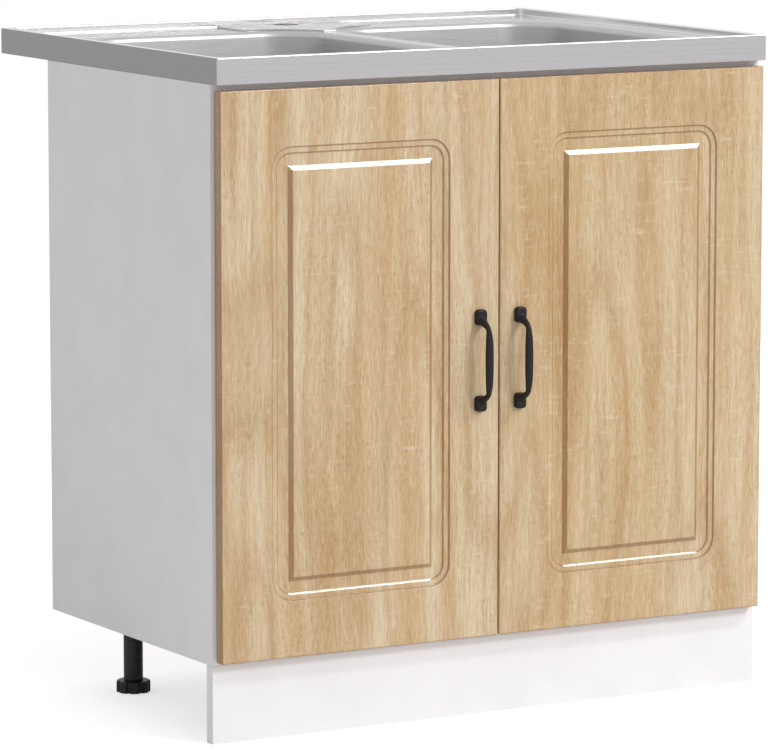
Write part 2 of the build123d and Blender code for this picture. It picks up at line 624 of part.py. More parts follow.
# Hinges: a cup let into the door holds the pin, and the arm reaches into it from the side panel
EAR_GAP = ARM_NECK_WIDTH / 2 + PART_GAP
for side, sign in SIDES.items():
    pivot_x = sign * (HALF - PIVOT_SIDE)
    cup_x = sign * (HALF - CUP_SIDE)
    with BuildPart() as hinge_pins:
        for height in HINGE_HEIGHTS.values():
            low = height - PIN_LENGTH / 2
            rod((pivot_x, PIVOT_Y, low), (pivot_x, PIVOT_Y, low + PIN_LENGTH), PIN_RADIUS)
    save(hinge_pins, f"hinge_pins_{side}")

    with BuildPart() as cup_screws:
        for cup_x_screw, y, z in cup_screw_points(sign):
            screw((cup_x_screw, y + CUP_WALL, z), (0, -1, 0))
    save(cup_screws, f"hinge_cup_screws_{side}")

    for level, height in HINGE_HEIGHTS.items():
        # The ears carry the pin, and the arm swings between them and in a notch in the cup's wall
        ear_x = span(sign, HALF - PIVOT_SIDE - EYE_RADIUS - CUP_WALL, HALF)
        mouth_z = (height - EAR_GAP, height + EAR_GAP)
        with BuildPart() as ears:
            rod((cup_x, CUP_FLOOR_Y, height), (cup_x, DOOR_BACK, height), CUP_RADIUS - CUP_WALL / 2)
            block(
                ear_x,
                (CUP_FLOOR_Y, PIVOT_Y + EYE_RADIUS + CUP_WALL),
                (mouth_z[0] - EAR_DEPTH, mouth_z[1] + EAR_DEPTH),
                Mode.INTERSECT,
            )
            block(ear_x, (CUP_FLOOR_Y, DOOR_BACK), mouth_z, Mode.SUBTRACT)

        with BuildPart() as hinge_cup:
            rod((cup_x, CUP_FLOOR_Y, height), (cup_x, DOOR_BACK, height), CUP_RADIUS)
            flange_far = HALF - CUP_SIDE - CUP_RADIUS
            flange_near = HALF - CUP_SIDE + CUP_RADIUS - CUP_FLANGE_LAP
            block(
                span(sign, flange_far, flange_near),
                (DOOR_BACK, DOOR_BACK + CUP_WALL),
                (height - CUP_FLANGE_HEIGHT / 2, height + CUP_FLANGE_HEIGHT / 2),
            )
            hollow_start = CUP_FLOOR_Y + CUP_WALL
            hollow_end = DOOR_BACK + CUP_WALL
            rod((cup_x, hollow_start, height), (cup_x, hollow_end, height), CUP_BORE_RADIUS, Mode.SUBTRACT)
            add(ears.part)
            block(ear_x, (PIVOT_Y, DOOR_BACK), mouth_z, Mode.SUBTRACT)
            low = height - PIN_LENGTH / 2
            rod((pivot_x, PIVOT_Y, low), (pivot_x, PIVOT_Y, low + PIN_LENGTH), PIN_RADIUS, Mode.SUBTRACT)
            for screw_x, y, z in cup_screw_points(sign):
                if abs(z - height) < CUP_SCREW_SPACING:
                    screw_hole((screw_x, y + CUP_WALL, z), (0, -1, 0), CUP_WALL)
        save(hinge_cup, f"hinge_cup_{side}_{level}")

        with BuildPart() as hinge_arm:
            neck = (height - ARM_NECK_WIDTH / 2, height + ARM_NECK_WIDTH / 2)
            hook_y = (PIVOT_Y - ARM_NECK_THICK / 2, PIVOT_Y + ARM_NECK_THICK / 2)
            rod((pivot_x, PIVOT_Y, neck[0]), (pivot_x, PIVOT_Y, neck[1]), EYE_RADIUS)
            block(span(sign, HALF - ARM_OUTER_SIDE, HALF - PIVOT_SIDE), hook_y, neck)
            block(span(sign, HALF - ARM_OUTER_SIDE, HALF - ARM_HOOK_SIDE), (hook_y[0], ARM_BACK), neck)
            block(
                span(sign, HALF - ARM_OUTER_SIDE, HALF - PLATE_SIDE),
                (ARM_FRONT, ARM_BACK),
                (height - ARM_WIDTH / 2, height + ARM_WIDTH / 2),
            )
            eye_bore = PIN_RADIUS + RUNNING_CLEARANCE
            rod((pivot_x, PIVOT_Y, neck[0]), (pivot_x, PIVOT_Y, neck[1]), eye_bore, Mode.SUBTRACT)
        save(hinge_arm, f"hinge_arm_{side}_{level}")

        with BuildPart() as hinge_plate:
            plate_x = span(sign, HALF - PLATE_SIDE, INNER)
            block(plate_x, (ARM_FRONT, ARM_BACK), (height - ARM_WIDTH / 2, height + ARM_WIDTH / 2))
            block(
                plate_x,
                (PLATE_SCREW_Y - PLATE_WING_WIDTH / 2, PLATE_SCREW_Y + PLATE_WING_WIDTH / 2),
                (height - PLATE_WING_HEIGHT / 2, height + PLATE_WING_HEIGHT / 2),
            )
            for screw_x, y, z in plate_screw_points(sign):
                if abs(z - height) < PLATE_SCREW_SPACING:
                    screw_hole((screw_x - sign * PLATE_THICK, y, z), (sign, 0, 0), PLATE_THICK)
        save(hinge_plate, f"hinge_plate_{side}_{level}")

with BuildPart() as hinge_plate_screws:
    for sign in SIDES.values():
        for x, y, z in plate_screw_points(sign):
            screw((x - sign * PLATE_THICK, y, z), (sign, 0, 0))
save(hinge_plate_screws, "hinge_plate_screws")

# Sink top: a pressed sheet with a folded skirt, a raised rim, a deck and a tap platform
TAP_Y = SINK_BACK - TAP_BACK_INSET
BOWL_BACK = BOWL_Y + BOWL_LENGTH / 2
PLATFORM_FRONT = BOWL_BACK - BOWL_CORNER + PLATFORM_TONGUE
PLATFORM_BACK = SINK_BACK - RIM_WIDTH - PLATFORM_BACK_INSET


def platform_outline(shrink):
    """Draws the tap platform's outline, which follows the bowls' inner back corners."""
    depth = PLATFORM_BACK - PLATFORM_FRONT - 2 * shrink
    with Locations((0, (PLATFORM_FRONT + PLATFORM_BACK) / 2)):
        RectangleRounded(PLATFORM_WIDTH - 2 * shrink, depth, PLATFORM_CORNER - shrink)
    corner_x = BOWL_X - BOWL_WIDTH / 2 + BOWL_CORNER
    with Locations((-corner_x, BOWL_BACK - BOWL_CORNER), (corner_x, BOWL_BACK - BOWL_CORNER)):
        Circle(BOWL_CORNER + LIP_WIDTH + PLATFORM_MARGIN + shrink, mode=Mode.SUBTRACT)


with BuildPart() as sink_top:
    with BuildSketch(Plane.XY.offset(CARCASS_TOP)):
        with Locations((0, SINK_Y)):
            RectangleRounded(WIDTH, SINK_DEPTH, SKIRT_CORNER)
    extrude(amount=SKIRT_HEIGHT)
    with BuildSketch(Plane.XY.offset(SINK_TOP)):
        with Locations((0, SINK_Y)):
            RectangleRounded(WIDTH - 2 * RIM_WIDTH, SINK_DEPTH - 2 * RIM_WIDTH, DECK_CORNER)
    extrude(amount=-DECK_DROP, mode=Mode.SUBTRACT)
    fillet(sink_top.edges().group_by(Axis.Z)[-1], RIM_ROUND)
    with BuildSketch(Plane.XY.offset(DECK_TOP)):
        platform_outline(0)
    extrude(amount=PLATFORM_RISE)
    with BuildSketch(Plane.XY.offset(CARCASS_TOP + SHEET)):
        with Locations((0, SINK_Y)):
            RectangleRounded(WIDTH - 2 * SHEET, SINK_DEPTH - 2 * SHEET, SKIRT_CORNER - SHEET)
    extrude(amount=DECK_TOP - CARCASS_TOP - 2 * SHEET, mode=Mode.SUBTRACT)
    with BuildSketch(Plane.XY.offset(CARCASS_TOP)):
        with Locations((0, SINK_Y)):
            Rectangle(WIDTH - 2 * (SHEET + FLANGE_WIDTH), SINK_DEPTH - 2 * (SHEET + FLANGE_WIDTH))
    extrude(amount=SHEET, mode=Mode.SUBTRACT)
    with BuildSketch(Plane.XY.offset(LIP_UNDERSIDE)):
        platform_outline(SHEET)
    extrude(amount=PLATFORM_RISE, mode=Mode.SUBTRACT)
    with BuildSketch(Plane.XY.offset(DECK_TOP)):
        with Locations((-BOWL_X, BOWL_Y), (BOWL_X, BOWL_Y)):
            lip_corner = BOWL_CORNER + LIP_WIDTH
            RectangleRounded(BOWL_WIDTH + 2 * LIP_WIDTH, BOWL_LENGTH + 2 * LIP_WIDTH, lip_corner)
    extrude(amount=-SHEET, mode=Mode.SUBTRACT)
    tap_bottom = DECK_TOP + PLATFORM_RISE - SHEET
    rod((0, TAP_Y, tap_bottom), (0, TAP_Y, tap_bottom + SHEET), TAP_HOLE_RADIUS, Mode.SUBTRACT)
save(sink_top, "sink_top")

# Bowls: a drawn shell with a rounded lip that meets the deck
WASTE_Y = BOWL_Y
for side, sign in SIDES.items():
    x = sign * BOWL_X
    with BuildPart() as cavity:
        with BuildSketch(Plane.XY.offset(DECK_TOP)):
            with Locations((x, BOWL_Y)):
                RectangleRounded(BOWL_WIDTH, BOWL_LENGTH, BOWL_CORNER)
        extrude(amount=BOWL_FLOOR - DECK_TOP, taper=BOWL_DRAFT)
        fillet(cavity.edges().group_by(Axis.Z)[0], BOWL_FLOOR_ROUND)
    with BuildPart() as bowl:
        with BuildSketch(Plane.XY.offset(LIP_UNDERSIDE)):
            with Locations((x, BOWL_Y)):
                RectangleRounded(BOWL_WIDTH + 2 * SHEET, BOWL_LENGTH + 2 * SHEET, BOWL_CORNER + SHEET)
        extrude(amount=BOWL_UNDERSIDE - LIP_UNDERSIDE, taper=BOWL_DRAFT)
        fillet(bowl.edges().group_by(Axis.Z)[0], BOWL_FLOOR_ROUND + SHEET)
        with BuildSketch(Plane.XY.offset(LIP_UNDERSIDE)):
            with Locations((x, BOWL_Y)):
                lip_corner = BOWL_CORNER + LIP_WIDTH
                RectangleRounded(BOWL_WIDTH + 2 * LIP_WIDTH, BOWL_LENGTH + 2 * LIP_WIDTH, lip_corner)
        extrude(amount=SHEET)
        under_lip = bowl.faces().filter_by(Plane.XY).group_by(Axis.Z)[-2][0]
        fillet(under_lip.inner_wires()[0].edges(), LIP_ROUND - SHEET)
        add(cavity.part, mode=Mode.SUBTRACT)
        fillet(bowl.faces().sort_by(Axis.Z)[-1].inner_wires()[0].edges(), LIP_ROUND)
        rod((x, WASTE_Y, BOWL_UNDERSIDE), (x, WASTE_Y, BOWL_FLOOR), WASTE_HOLE_RADIUS, Mode.SUBTRACT)
    save(bowl, f"bowl_{side}")

# Basket wastes under each bowl, and the strainer basket that lifts out
WASTE_TOP = BOWL_FLOOR + WASTE_FLANGE_THICK
WASTE_BOTTOM = BOWL_UNDERSIDE - WASTE_CUP_DEPTH
SEAT_Z = WASTE_BOTTOM + WASTE_WALL
OUTLET_BOTTOM = WASTE_BOTTOM - OUTLET_LENGTH
GASKET_BOTTOM = BOWL_UNDERSIDE - GASKET_THICK
OUTLET_BORE = OUTLET_RADIUS - WASTE_WALL
for side, sign in SIDES.items():
    x = sign * BOWL_X
    with BuildPart() as waste_body:
        rod((x, WASTE_Y, BOWL_FLOOR), (x, WASTE_Y, WASTE_TOP), WASTE_FLANGE_RADIUS)
        outer = WASTE_CUP_RADIUS + WASTE_WALL - BORE_CLEARANCE
        rod((x, WASTE_Y, WASTE_BOTTOM), (x, WASTE_Y, BOWL_FLOOR), outer)
        rod((x, WASTE_Y, OUTLET_BOTTOM), (x, WASTE_Y, WASTE_BOTTOM), OUTLET_RADIUS)
        rod((x, WASTE_Y, SEAT_Z), (x, WASTE_Y, WASTE_TOP), WASTE_CUP_RADIUS, Mode.SUBTRACT)
        rod((x, WASTE_Y, OUTLET_BOTTOM), (x, WASTE_Y, SEAT_Z), OUTLET_BORE, Mode.SUBTRACT)
    save(waste_body, f"waste_body_{side}")

    with BuildPart() as waste_gasket:
        rod((x, WASTE_Y, GASKET_BOTTOM), (x, WASTE_Y, BOWL_UNDERSIDE), NUT_RADIUS)
        rod((x, WASTE_Y, GASKET_BOTTOM), (x, WASTE_Y, BOWL_UNDERSIDE), WASTE_HOLE_RADIUS, Mode.SUBTRACT)
    save(waste_gasket, f"waste_gasket_{side}")

    with BuildPart() as waste_nut:
        rod((x, WASTE_Y, GASKET_BOTTOM - NUT_HEIGHT), (x, WASTE_Y, GASKET_BOTTOM), NUT_RADIUS)
        with Locations((x, WASTE_Y, GASKET_BOTTOM - NUT_HEIGHT)):
            with PolarLocations(NUT_RADIUS, NUT_LUGS):
                Cylinder(NUT_LUG_RADIUS, NUT_HEIGHT, align=UPRIGHT)
        rod(
            (x, WASTE_Y, GASKET_BOTTOM - NUT_HEIGHT),
            (x, WASTE_Y, GASKET_BOTTOM),
            WASTE_HOLE_RADIUS,
            Mode.SUBTRACT,
        )
    save(waste_nut, f"waste_nut_{side}")

    with BuildPart() as basket:
        basket_bottom = SEAT_Z + PART_GAP
        basket_top = basket_bottom + BASKET_DEPTH
        with BuildSketch(Plane.XY.offset(basket_top)):
            with Locations((x, WASTE_Y)):
                Circle(BASKET_RADIUS)
        extrude(amount=-BASKET_DEPTH, taper=BASKET_TAPER)
        with BuildSketch(Plane.XY.offset(basket_top)):
            with Locations((x, WASTE_Y)):
                Circle(BASKET_RADIUS - BASKET_WALL)
        extrude(amount=BASKET_WALL - BASKET_DEPTH, taper=BASKET_TAPER, mode=Mode.SUBTRACT)
        with Locations((x, WASTE_Y, basket_bottom)):
            with PolarLocations(BASKET_RING_RADIUS, BASKET_HOLES):
                Cylinder(BASKET_HOLE_RADIUS, BASKET_WALL, align=UPRIGHT, mode=Mode.SUBTRACT)
        rod((x, WASTE_Y, basket_bottom - STEM_TAIL), (x, WASTE_Y, basket_top), STEM_RADIUS)
        rod((x, WASTE_Y, basket_top - KNOB_HEIGHT), (x, WASTE_Y, basket_top), KNOB_RADIUS)
    save(basket, f"strainer_basket_{side}")

# Sink clips: a bent strip on the side panel that hooks over the sink's bottom flange
FLANGE_EDGE = HALF - SHEET - FLANGE_WIDTH
HOOK_TOP = CARCASS_TOP + SHEET + SINK_CLIP_THICK
HOOK_OUTER = FLANGE_EDGE - SINK_CLIP_THICK
with BuildPart() as sink_clips:
    for sign in SIDES.values():
        for y in SINK_CLIP_YS:
            across = (y - SINK_CLIP_WIDTH / 2, y + SINK_CLIP_WIDTH / 2)
            upright = span(sign, INNER - SINK_CLIP_THICK, INNER)
            block(upright, across, (SINK_CLIP_BOTTOM, CARCASS_TOP))
            block(span(sign, HOOK_OUTER, INNER), across, (CARCASS_TOP - SINK_CLIP_THICK, CARCASS_TOP))
            block(span(sign, HOOK_OUTER, FLANGE_EDGE), across, (CARCASS_TOP - SINK_CLIP_THICK, HOOK_TOP))
            hook = span(sign, HOOK_OUTER, FLANGE_EDGE + SINK_CLIP_HOOK)
            block(hook, across, (CARCASS_TOP + SHEET, HOOK_TOP))
            seat = (sign * (INNER - SINK_CLIP_THICK), y, SINK_CLIP_SCREW_Z)
            screw_hole(seat, (sign, 0, 0), SINK_CLIP_THICK)
save(sink_clips, "sink_clips")

with BuildPart() as sink_clip_screws:
    for sign in SIDES.values():
        for y in SINK_CLIP_YS:
            screw((sign * (INNER - SINK_CLIP_THICK), y, SINK_CLIP_SCREW_Z), (sign, 0, 0))
save(sink_clip_screws, "sink_clip_screws")
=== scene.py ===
"""Looks of a sink base kitchen cabinet.

A white board carcass on black levelling legs carries two oak-foil doors with routed panels and black bow
handles, and a lay-on stainless sink with two bowls and basket wastes. All shapes sit in the CAD frame, in metres.
"""
import json
import logging
import math
from dataclasses import dataclass, field
from enum import Enum
from functools import cache
from typing import Any, Callable, Iterable, Sequence

import bmesh
import bpy
from mathutils import Euler, Matrix, Vector

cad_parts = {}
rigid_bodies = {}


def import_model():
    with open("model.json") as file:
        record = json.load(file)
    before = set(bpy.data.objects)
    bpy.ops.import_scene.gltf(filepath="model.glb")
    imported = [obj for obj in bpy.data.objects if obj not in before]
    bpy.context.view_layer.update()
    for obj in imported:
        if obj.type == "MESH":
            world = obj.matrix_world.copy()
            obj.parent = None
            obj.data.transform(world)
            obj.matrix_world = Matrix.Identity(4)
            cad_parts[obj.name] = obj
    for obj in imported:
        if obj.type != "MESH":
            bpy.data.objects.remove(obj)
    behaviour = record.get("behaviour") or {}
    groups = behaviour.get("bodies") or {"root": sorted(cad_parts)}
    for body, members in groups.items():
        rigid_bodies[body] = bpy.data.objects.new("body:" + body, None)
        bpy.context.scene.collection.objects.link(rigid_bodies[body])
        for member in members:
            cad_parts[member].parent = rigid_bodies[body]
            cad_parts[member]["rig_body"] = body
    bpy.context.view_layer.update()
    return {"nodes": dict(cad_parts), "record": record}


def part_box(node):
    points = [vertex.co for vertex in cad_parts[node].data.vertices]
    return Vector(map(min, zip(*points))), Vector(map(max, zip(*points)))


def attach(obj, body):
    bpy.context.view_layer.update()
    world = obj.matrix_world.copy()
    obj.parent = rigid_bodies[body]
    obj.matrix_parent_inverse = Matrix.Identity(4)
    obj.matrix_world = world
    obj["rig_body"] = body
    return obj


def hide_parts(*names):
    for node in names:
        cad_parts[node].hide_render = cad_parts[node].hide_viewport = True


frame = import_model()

LOG = logging.getLogger("cabinet")
MM = 0.001
WELD = 1e-6
FLAT_WEIGHT = 80
# The angles in degrees past which an edge stays sharp, by how a piece is made.
BOARD_EDGE, SHEET_EDGE, TURNED_EDGE, STAMPED_EDGE, ROUTED_EDGE, CAST_EDGE = 32.0, 30.0, 35.0, 40.0, 50.0, 60.0
Colour = tuple[float, float, float, float]
Triple = tuple[float, float, float]
Pairs = Sequence[tuple[float, float]]
Loops = list[list[Vector]]
Obj = bpy.types.Object
Shape = bmesh.types.BMesh
Tree = bpy.types.NodeTree
Socket = bpy.types.NodeSocket
Face = bpy.types.MeshPolygon


class Slot(Enum):
    """Material slots of the record, which each piece is kept with."""

    WHITE_BOARD = "white_board"
    OAK_FOIL = "oak_foil"
    HARDBOARD = "hardboard"
    BEECH = "beech"
    STAINLESS = "stainless"
    BLACK_METAL = "black_metal"
    BLACK_PLASTIC = "black_plastic"
    GREY_PLASTIC = "grey_plastic"
    NICKEL = "nickel"
    ZINC = "zinc"
    RUBBER = "rubber"
    CLEAR_BUMPER = "clear_bumper"


class Side(Enum):
    """The cabinet's two sides, with the sign of their X."""

    LEFT = -1
    RIGHT = 1

    @property
    def tag(self) -> str:
        """Returns the word that ends the names of this side's nodes."""
        return self.name.lower()


def linear(code: str) -> Colour:
    """Turns an sRGB colour, as six hex digits after a hash, into linear light with an alpha of one."""
    shares = (int(code[start:start + 2], 16) / 255 for start in (1, 3, 5))
    return (*(s / 12.92 if s <= 0.04045 else ((s + 0.055) / 1.055) ** 2.4 for s in shares), 1.0)


def add_node(tree: Tree, kind: str, values: dict[Any, Any] | None = None, **settings: Any) -> bpy.types.Node:
    """Adds a node to a tree, sets its properties, and sets or links its inputs.

    Args:
        tree: the node tree.
        kind: the node's type name.
        values: a constant or an output socket for each input, by the input's name or index.
        settings: the node's own properties.

    Returns:
        The new node.
    """
    node = tree.nodes.new(kind)
    for name, setting in settings.items():
        setattr(node, name, setting)
    for key, value in (values or {}).items():
        if isinstance(value, Socket):
            tree.links.new(value, node.inputs[key])
        else:
            node.inputs[key].default_value = value
    return node


def feed(tree: Tree, kind: str, values: dict[Any, Any], **settings: Any) -> Socket:
    """Adds a node as add_node does, and returns its first output."""
    return add_node(tree, kind, values, **settings).outputs[0]


def ramp(tree: Tree, *span: Any, **settings: Any) -> Socket:
    """Carries a value from one range to another, given as the value, the first range and the second."""
    return feed(tree, "ShaderNodeMapRange", dict(enumerate(span)), **settings)


def even(size: float) -> Triple:
    """Returns the same size for every axis."""
    return size, size, size


@dataclass(frozen=True)
class Layer:
    """A layer of a pattern: noise stretched to features of a real size, which lays a colour over those below.

    Rings turn the noise into that many contour lines, as growth rings cut at a slant show. A patch keeps the
    layer to patches of a real size.
    """

    feature: Triple
    start: float
    full: float
    colour: str
    strength: float
    detail: float = 2.0
    patch: Triple | None = None
    rings: float = 0.0


@dataclass(frozen=True)
class Relief:
    """Fine surface relief: noise features of a real size and height, which also vary the roughness."""

    feature: Triple
    height: float
    spread: float = 0.0
    detail: float = 3.0
    span: tuple[float, float] = (0.3, 0.7)


@dataclass(frozen=True)
class Sway:
    """Sideways wander of a grain, by an amount in mm over features of a size in mm."""

    amount: float
    feature: Triple
    detail: float = 2.0
    span: tuple[float, float] = (0.25, 0.75)


@dataclass
class Pattern:
    """Draws noise in a material's node tree, on Object coordinates that a shift in mm and a sway move."""

    tree: Tree
    shift: Triple
    sway: Sway | None
    patch_edge: tuple[float, float] = (0.46, 0.6)
    place: Socket | None = None

    def __post_init__(self) -> None:
        """Adds the coordinates that the noise is drawn on, in metres."""
        plain = add_node(self.tree, "ShaderNodeTexCoord").outputs["Object"]
        self.place = self._moved(plain, tuple(s * MM for s in self.shift))
        if self.sway:
            noise = self.noise(self.sway.feature, self.sway.detail)
            amount = self.sway.amount * MM
            aside = ramp(self.tree, noise, *self.sway.span, -amount, amount, clamp=False)
            self.place = self._moved(self.place, feed(self.tree, "ShaderNodeCombineXYZ", {0: aside}))

    def _moved(self, place: Socket, by: Socket | Triple) -> Socket:
        """Returns coordinates moved by a vector."""
        return feed(self.tree, "ShaderNodeVectorMath", {0: place, 1: by}, operation="ADD")

    def _sum(self, operation: str, first: Socket, second: Socket | float) -> Socket:
        """Returns the result of a sum on two values."""
        return feed(self.tree, "ShaderNodeMath", {0: first, 1: second}, operation=operation)

    def noise(self, feature: Triple, detail: float) -> Socket:
        """Adds noise with features of a size in mm on each axis, and with so many finer octaves."""
        inputs = {0: self.place, 1: tuple(1 / (size * MM) for size in feature)}
        vector = feed(self.tree, "ShaderNodeVectorMath", inputs, operation="MULTIPLY")
        return feed(self.tree, "ShaderNodeTexNoise", {"Vector": vector, "Scale": 1.0, "Detail": detail})

    def mask(self, layer: Layer) -> Socket:
        """Adds the mask of one layer.

        Args:
            layer: the layer.

        Returns:
            The layer's share at each point.
        """
        noise = self.noise(layer.feature, layer.detail)
        if layer.rings:
            noise = self._sum("PINGPONG", self._sum("MULTIPLY", noise, layer.rings), 1.0)
        mask = ramp(self.tree, noise, layer.start, layer.full, 0.0, layer.strength)
        if not layer.patch:
            return mask
        patch = ramp(self.tree, self.noise(layer.patch, 1.0), *self.patch_edge, 0.0, 1.0)
        return self._sum("MULTIPLY", mask, patch)


@dataclass(frozen=True)
class Finish:
    """A surface finish, drawn by noise on Object coordinates. Sizes are in mm."""

    name: str
    base: str
    roughness: float
    layers: tuple[Layer, ...]
    relief: Relief
    metallic: float = 0.0
    sway: Sway | None = None
    shift: Triple = (0.0, 0.0, 0.0)
    extra: tuple[tuple[str, float], ...] = ()

    @cache
    def material(self) -> bpy.types.Material:
        """Builds the finish's material, once.

        Returns:
            The material, with its node tree in place.
        """
        material = bpy.data.materials.new(self.name)
        material.use_nodes = True
        tree = material.node_tree
        shader = tree.nodes["Principled BSDF"]
        for name, value in (("Roughness", self.roughness), ("Metallic", self.metallic), *self.extra):
            shader.inputs[name].default_value = value
        pattern = Pattern(tree, self.shift, self.sway)
        colour: Any = linear(self.base)
        for layer in self.layers:
            values = {0: pattern.mask(layer), 6: colour, 7: linear(layer.colour)}
            colour = add_node(tree, "ShaderNodeMix", values, data_type="RGBA").outputs[2]
        tree.links.new(colour, shader.inputs["Base Color"])
        relief = self.relief
        noise = pattern.noise(relief.feature, relief.detail)
        bump = {"Height": noise, "Distance": relief.height * MM, "Strength": 1.0}
        tree.links.new(feed(tree, "ShaderNodeBump", bump), shader.inputs["Normal"])
        if relief.spread:
            low, high = self.roughness - relief.spread, self.roughness + relief.spread
            tree.links.new(ramp(tree, noise, *relief.span, low, high), shader.inputs["Roughness"])
        return material


def oak(name: str, shift: Triple, ground: str, edge_with_painted_shade: bool = False) -> Finish:
    """Describes one door's oak foil.

    The foil is PVC printed with oak and drawn hot over milled fibreboard. The print gives long bands, growth
    rings, short dark pores and the pale cross marks of a saw. Real pores are about 0.3 mm wide, too fine to show
    here, so they are drawn 2 mm wide. The face is embossed to a satin sheen. Where the foil is drawn over an
    edge it is smooth and shines more. There a darker brown is also laid over the print as painted shade, on the
    edges and on the routed walls alike.

    Args:
        name: the material's name.
        shift: how far the print is shifted, in mm, so that the two doors differ.
        ground: the print's ground colour.
        edge_with_painted_shade: whether the foil is drawn over an edge here.

    Returns:
        The finish.
    """
    # Painted shade: a darker brown laid over the print on the edges and the routed walls.
    drawn = (Layer(even(60), -1.0, 0.0, "#8A5516", 0.52),) if edge_with_painted_shade else ()
    return Finish(
        name,
        base=ground,
        roughness=0.13 if edge_with_painted_shade else 0.3,
        layers=(
            Layer((46, 46, 900), 0.42, 0.64, "#BF955D", 0.64, 3.0),
            Layer((70, 70, 1200), 0.48, 0.64, "#DCCBAD", 0.6),
            Layer((120, 120, 760), 0.45, 1.0, "#A97D46", 0.4, 1.5, rings=12),
            Layer((13, 13, 380), 0.46, 0.68, "#B58A55", 0.4),
            Layer((3.4, 3.4, 75), 0.42, 0.72, "#B08955", 0.36),
            Layer((1.8, 1.8, 18), 0.42, 0.7, "#A17844", 0.34),
            Layer((1.8, 1.8, 15), 0.5, 0.72, "#E8DABF", 0.34),
            Layer((2.0, 2.0, 9), 0.58, 0.7, "#8C673A", 0.4, 1.0, patch=(85, 85, 110)),
            Layer((26, 26, 4.6), 0.6, 0.76, "#EADCC3", 0.3, 1.0, patch=(30, 30, 90)),
            *drawn,
        ),
        relief=Relief((1.4, 1.4, 14), 0.006, 0.03),
        sway=Sway(13, (190, 190, 420)),
        shift=shift,
    )


PRINT = {Side.LEFT: ((40.0, 0.0, 0.0), "#DDCBAB"), Side.RIGHT: ((530.0, 90.0, 1500.0), "#D3BD97")}
OAK = {side: oak(f"oak_foil_{side.tag}", *prints) for side, prints in PRINT.items()}
OAK_SHADED_EDGE = {side: oak(f"oak_foil_edge_{side.tag}", *prints, True) for side, prints in PRINT.items()}
# Paper soaked in melamine, pressed hot on chipboard by a pearl-grained plate: near white with a low
# sheen. The real pearl grain is under 0.5 mm across, so it is drawn coarser.
WHITE = Finish(
    "white_melamine", "#F2F0F2", 0.4,
    (Layer(even(70), 0.4, 0.65, "#ECEAEC", 0.6),), Relief(even(1.8), 0.006, 0.04),
)
# Chips of wood glued, pressed and sawn through: pale and dark chips a few mm across, matt and open.
CHIPBOARD = Finish(
    "raw_chipboard", "#C6AA7F", 0.85,
    (Layer(even(2.2), 0.52, 0.64, "#8F6C44", 0.7, 3.0), Layer(even(3.5), 0.55, 0.66, "#E3D0AC", 0.6)),
    Relief(even(1.5), 0.15, 0.05),
)
# Wood fibre pressed wet into hardboard: matt brown, with short fibres that lie across the sheet.
FIBREBOARD = Finish(
    "brown_hardboard", "#9C774B", 0.7,
    (Layer((4, 4, 1.2), 0.5, 0.68, "#7D5A34", 0.5, 3.0), Layer(even(90), 0.45, 0.65, "#A98558", 0.5)),
    Relief(even(1.0), 0.08),
)
# Turned and fluted beech: pale pink brown, with short darker flecks along the dowel.
BEECH = Finish(
    "beech_dowel", "#DABB8E", 0.6,
    (Layer((12, 0.8, 0.8), 0.52, 0.68, "#B98E5E", 0.5, 3.0),), Relief((8, 0.6, 0.6), 0.05),
)
# Cold-rolled stainless sheet, belt-brushed along the cabinet's width: a satin grey that streaks along the
# brushing. Real brush lines are under 0.1 mm wide, so they are drawn coarser.
STEEL = Finish(
    "brushed_stainless", "#D8D6D8", 0.22,
    (Layer((150, 0.45, 0.45), 0.4, 0.7, "#C6C4C6", 0.4, 3.0),), Relief((110, 0.4, 0.4), 0.0008, 0.04), 1.0,
)
# The same sheet where it is folded down at the sides, brushed front to back there. Its base is painted darker
# than the top's: painted shade on the side skirts.
STEEL_SHADED_SIDE = Finish(
    "brushed_stainless_side", "#9E9C9E", 0.4,
    (Layer((0.45, 150, 0.45), 0.4, 0.7, "#949294", 0.4, 3.0),), Relief((0.4, 110, 0.4), 0.002, 0.04), 1.0,
)
# The rim's top and the inner wall of its right end, polished smoother after folding. Their base is painted near
# white as a painted highlight, in place of the light from above that these faces give back.
STEEL_RIM_PAINTED_BRIGHT = Finish(
    "polished_stainless", "#F4F3F4", 0.16,
    (Layer(even(40), 0.4, 0.7, "#ECEBEC", 0.5),), Relief((60, 0.8, 0.8), 0.001, 0.03), 1.0,
)
# Stainless drawn deep and polished round its walls: an even satin with faint level lines, which
# are drawn coarser than the polishing marks.
STEEL_DRAWN = Finish(
    "satin_stainless", "#CFCECF", 0.44,
    (Layer((60, 60, 0.7), 0.42, 0.7, "#A6A5A7", 0.4, 3.0),), Relief((50, 50, 0.6), 0.002, 0.05), 1.0,
)
# Zinc casting under baked black powder: soft highlights and a fine orange peel, drawn a little coarser.
POWDER_COAT = Finish(
    "black_powder_coat", "#140F0F", 0.5,
    (Layer(even(0.9), 0.5, 0.7, "#1D1616", 0.6),), Relief(even(0.55), 0.012, 0.06),
    extra=(("Specular IOR Level", 0.34),),
)
# Black plastic moulded in a spark-eroded tool: dark grey, half matt, with a fine even grain.
BLACK_PLASTIC = Finish(
    "black_moulded_plastic", "#17171A", 0.42,
    (Layer(even(9), 0.45, 0.7, "#202024", 0.6),), Relief(even(0.8), 0.01, 0.06),
)
# Grey plastic moulded in the same way.
GREY_PLASTIC = Finish(
    "grey_moulded_plastic", "#8D9093", 0.45,
    (Layer(even(8), 0.45, 0.7, "#7E8185", 0.6),), Relief(even(0.8), 0.01, 0.06),
)
# Stamped steel plated with nickel: bright, warm grey, with slight waves left by the stamping.
NICKEL = Finish(
    "nickel_plate", "#CFCABF", 0.24,
    (Layer(even(5), 0.45, 0.7, "#B9B4A8", 0.5),), Relief(even(1.2), 0.004, 0.05), 1.0,
)
